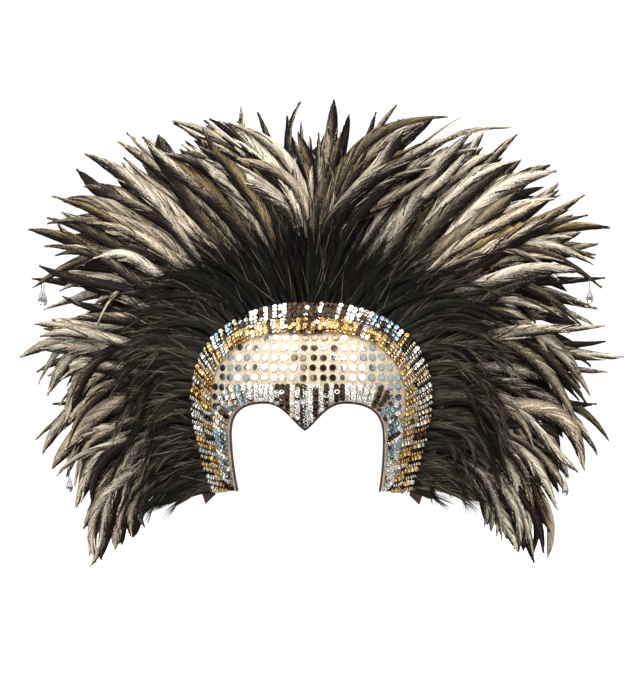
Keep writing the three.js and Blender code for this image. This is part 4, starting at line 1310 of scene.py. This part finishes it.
def barb_locks(form, side, rng):
    """Locks of barbs that lie on both vanes of the blades: each leaves the shaft, runs outwards and forwards
    over the vane and ends at its edge or a little beyond. Returns points, texture places and tints."""
    count, rows, _ = form["points"].shape
    shape = (count, LOCKS_A_SIDE, 2)
    start = (np.arange(LOCKS_A_SIDE) + 0.5)[None, :, None] / LOCKS_A_SIDE * LOCK_OVER + LOCK_FROM
    start = np.clip(start + rng.normal(0, LOCK_STRAY, shape), *LOCK_LIMITS)
    flank = np.broadcast_to(np.array([-1.0, 1.0]), shape)
    stretch = rng.uniform(*LOCK_STRETCH_RANGE, shape) * (1.15 - 0.5 * start)
    begin = rng.uniform(*LOCK_BEGIN_RANGE, shape)
    finish = rng.uniform(*LOCK_FINISH_RANGE, shape)
    t = LOCK_STEPS
    at = np.clip(start[..., None] + stretch[..., None] * t, 0, 1.0)
    out = begin[..., None] + (finish - begin)[..., None] * t**0.85
    spot = at * (rows - 1)
    low = np.minimum(spot.astype(int), rows - 2)
    part = spot - low
    pick = np.arange(count)[:, None, None, None]
    wing = np.broadcast_to(np.array([0, 1])[:, None], low.shape)
    width = form["vanes"][pick, low, wing] * (1 - part) + form["vanes"][pick, low + 1, wing] * part
    width = np.maximum(width, LOCK_LEAST_OUT * form["width"][:, None, None, None])
    near = form["points"][pick, low]
    centre = near * (1 - part[..., None]) + form["points"][pick, low + 1] * part[..., None]
    ahead = form["along"][pick, low]
    sideways, face = feather_axes(ahead, form["turn"][pick, low])
    lift = rng.uniform(*LOCK_LIFT_RANGE, shape)[..., None] * (0.4 + 0.6 * t)
    depth = lift - form["camber"][:, None, None, None] * out**CAMBER_POWER * width
    line = centre + (flank[..., None] * out * width)[..., None] * sideways
    line = line + (out * width * BARB_SWEEP)[..., None] * ahead + depth[..., None] * face
    line = line.reshape(-1, len(t), 3)
    broad = (sideways - LOCK_SKEW * flank[..., None, None] * ahead).reshape(-1, len(t), 3)
    deep = LOCK_FLATNESS * face.reshape(-1, len(t), 3)
    size = (rng.uniform(*LOCK_WIDTH_RANGE, shape)[..., None] * LOCK_WIDTHS).reshape(-1, len(t))
    corner = np.arange(3) * 2 * np.pi / 3 + np.pi / 2
    ring = np.cos(corner)[:, None] * broad[:, :, None] + np.sin(corner)[:, None] * deep[:, :, None]
    locks = line[:, :, None] + size[..., None, None] * ring
    lock_run = at * form["length"][:, None, None, None] / UV_UNIT + form["offset"][:, None, None, None]
    lock_across = 0.5 + 0.5 * np.clip(out, 0, 1) * flank[..., None] * side
    uv = np.stack([lock_run, lock_across], axis=-1).reshape(-1, len(t), 1, 2)
    uv = np.broadcast_to(uv, (*locks.shape[:3], 2))

    tone = np.repeat(form["tone"], LOCKS_A_SIDE * 2, axis=0).reshape(*shape, 4).copy()
    tone[..., :3] *= rng.uniform(*LOCK_TONE_RANGE, (*shape, 1))
    # Painted shade: less cover on the lower vane's locks and towards the root.
    lower = 0.5 + 0.5 * np.tanh(VANE_STEEP * (0.5 + 0.5 * flank * side - VANE_MIDDLE))
    eye = form["eye"][:, None, None] * np.clip((start - LOCK_EYE_FROM) / EYE_OVER, 0, 1)
    tone[..., 3] += rng.normal(0, LOCK_COVER_SPREAD, shape)
    tone[..., 3] -= VANE_SHADE * lower + ROOT_SHADE * (1 - start) ** 2 + eye
    return locks, uv, point_tint(tone.reshape(-1, 4), locks)


# The spray's cover is a sum of fine grain, streaks along the barbs and the feather's own cover less its
# painted shade (the alpha of its tint), cut between the two COVER values. Under it the feather is dark brown,
# with a paler shaft.
STREAKS_ALONG = 60.0
STREAKS_ACROSS = 1.2
BARB_SLANT = 0.45
STREAK_WEIGHT = 2.0
GRAIN_WEIGHT = 0.9
GRAIN_SCALE = 1300
COVER_FROM = 1.74
COVER_TO = 2.12
COQUE_DARK = (0.016, 0.011, 0.010, 1)
SHAFT_COLOUR = (0.10, 0.07, 0.05, 1)
SHAFT_FROM = 0.035
SHAFT_TO = 0.015
SHAFT_SHARE = 0.5
PAINT_METAL = 0.3
PAINT_SHINE = 0.3
BARE_SHINE = 0.1
BARE_ROUGHNESS = 0.6
PAINT_ROUGHNESS = 0.42
spray, nodes, links, shader = new_material("sprayed_feather")
film = nodes.new("ShaderNodeAttribute")
film.attribute_name = "tint"
vane = nodes.new("ShaderNodeUVMap")
vane.uv_map = "UVMap"
middle = nodes.new("ShaderNodeSeparateXYZ")
links.new(vane.outputs["UV"], middle.inputs["Vector"])


def number(operation, first, second):
    """One sum of two values, given as sockets or plain numbers."""
    node = nodes.new("ShaderNodeMath")
    node.operation = operation
    for socket, value in zip(node.inputs, (first, second)):
        if isinstance(value, (int, float)):
            socket.default_value = value
        else:
            links.new(value, socket)
    return node.outputs["Value"]


from_shaft = number("ABSOLUTE", number("SUBTRACT", middle.outputs["Y"], 0.5), 0.0)
barb_place = number("SUBTRACT", middle.outputs["X"], number("MULTIPLY", from_shaft, BARB_SLANT))
barb_lines = nodes.new("ShaderNodeCombineXYZ")
links.new(number("MULTIPLY", barb_place, STREAKS_ALONG), barb_lines.inputs["X"])
links.new(number("MULTIPLY", middle.outputs["Y"], STREAKS_ACROSS), barb_lines.inputs["Y"])
streak = set_inputs(nodes.new("ShaderNodeTexNoise"), Scale=1.0, Detail=5, Roughness=0.72)
links.new(barb_lines.outputs["Vector"], streak.inputs["Vector"])
place = nodes.new("ShaderNodeTexCoord")
grain = set_inputs(nodes.new("ShaderNodeTexNoise"), Scale=GRAIN_SCALE, Detail=2)
links.new(place.outputs["Object"], grain.inputs["Vector"])

grains = number("MULTIPLY", grain.outputs["Fac"], GRAIN_WEIGHT)
streaks = number("MULTIPLY", streak.outputs["Fac"], STREAK_WEIGHT)
cover = set_inputs(nodes.new("ShaderNodeMapRange"), From_Min=COVER_FROM, From_Max=COVER_TO)
links.new(number("ADD", number("ADD", grains, streaks), film.outputs["Alpha"]), cover.inputs["Value"])
covered = cover.outputs["Result"]
paint = nodes.new("ShaderNodeMix")
paint.data_type = "RGBA"
paint.inputs["A"].default_value = COQUE_DARK
links.new(covered, paint.inputs["Factor"])
links.new(film.outputs["Color"], paint.inputs["B"])
shaft = set_inputs(nodes.new("ShaderNodeMapRange"), From_Min=SHAFT_FROM, From_Max=SHAFT_TO)
links.new(from_shaft, shaft.inputs["Value"])
ridge = nodes.new("ShaderNodeMix")
ridge.data_type = "RGBA"
ridge.inputs["B"].default_value = SHAFT_COLOUR
links.new(number("MULTIPLY", shaft.outputs["Result"], SHAFT_SHARE), ridge.inputs["Factor"])
links.new(paint.outputs["Result"], ridge.inputs["A"])
links.new(ridge.outputs["Result"], shader.inputs["Base Color"])
links.new(number("MULTIPLY", covered, PAINT_METAL), shader.inputs["Metallic"])
shine = number("ADD", number("MULTIPLY", covered, PAINT_SHINE), BARE_SHINE)
links.new(shine, shader.inputs["Specular IOR Level"])
rough = set_inputs(nodes.new("ShaderNodeMapRange"), To_Min=BARE_ROUGHNESS, To_Max=PAINT_ROUGHNESS)
links.new(covered, rough.inputs["Value"])
links.new(rough.outputs["Result"], shader.inputs["Roughness"])
relief = set_inputs(nodes.new("ShaderNodeBump"), Strength=0.4, Distance=0.0003)
links.new(streak.outputs["Fac"], relief.inputs["Height"])
links.new(relief.outputs["Normal"], shader.inputs["Normal"])

# Clear drops: small tears of clear plastic, hung on a stiff thread from the shafts of a few side feathers.
# DROPS names their feathers by their place in the strip's list.
DROPS = {("side", "left"): (5, 6), ("side", "right"): (5,), ("tail", "left"): (1,), ("tail", "right"): (1,)}
DROP_ROW = 20
DROP_SIDES = 16
DROP_RADII = (0.3, 0.35, 0.4, 1.2, 2.1, 2.8, 3.0, 2.6, 1.6, 0.1)
DROP_HEIGHTS = (0.5, -4.0, -9.0, -11.5, -13.6, -16.0, -18.2, -20.2, -21.6, -22.1)
UPRIGHT = ((0.0, 0.0, 1.0), (1.0, 0.0, 0.0), (0.0, 1.0, 0.0))
clear_drop, nodes, links, shader = new_material(
    "clear_drop", Roughness=0.05, IOR=1.45, Transmission_Weight=0.9
)
place = nodes.new("ShaderNodeTexCoord")
noise_bump(nodes, links, shader, place.outputs["Object"], scale=300, detail=2, strength=0.2, depth=0.0003)

for strip_number, (part, rows) in enumerate(COQUE.items()):
    for label, side in (("left", -1), ("right", 1)):
        rng = np.random.default_rng(500 + 10 * strip_number + side)
        spec, in_front = coque_specs(rows, side, rng)
        blade, form = coque_blades(spec, side, rng)
        strip = looped_mesh(f"coque_feathers_{label}_{part}", *blade)
        node = "coque_crest" if part == "crest" else f"coque_{label}_{part}"
        fit_out(strip, spray, "coque_feathers", node)
        locks = barb_locks({key: values[in_front] for key, values in form.items()}, side, rng)
        fringe = looped_mesh(f"coque_barbs_{label}_{part}", *locks)
        fit_out(fringe, spray, "coque_feathers")
        hung = [form["points"][rank * (COMPANIONS + 1), DROP_ROW] for rank in DROPS.get((part, label), ())]
        if hung:
            axes = [np.tile(axis, (len(hung), 1)) for axis in UPRIGHT]
            drops = turned_bodies(np.array(hung), axes, DROP_RADII, DROP_HEIGHTS, DROP_SIDES)
            fit_out(looped_mesh(f"clear_drops_{label}_{part}", drops), clear_drop, "coque_feathers")
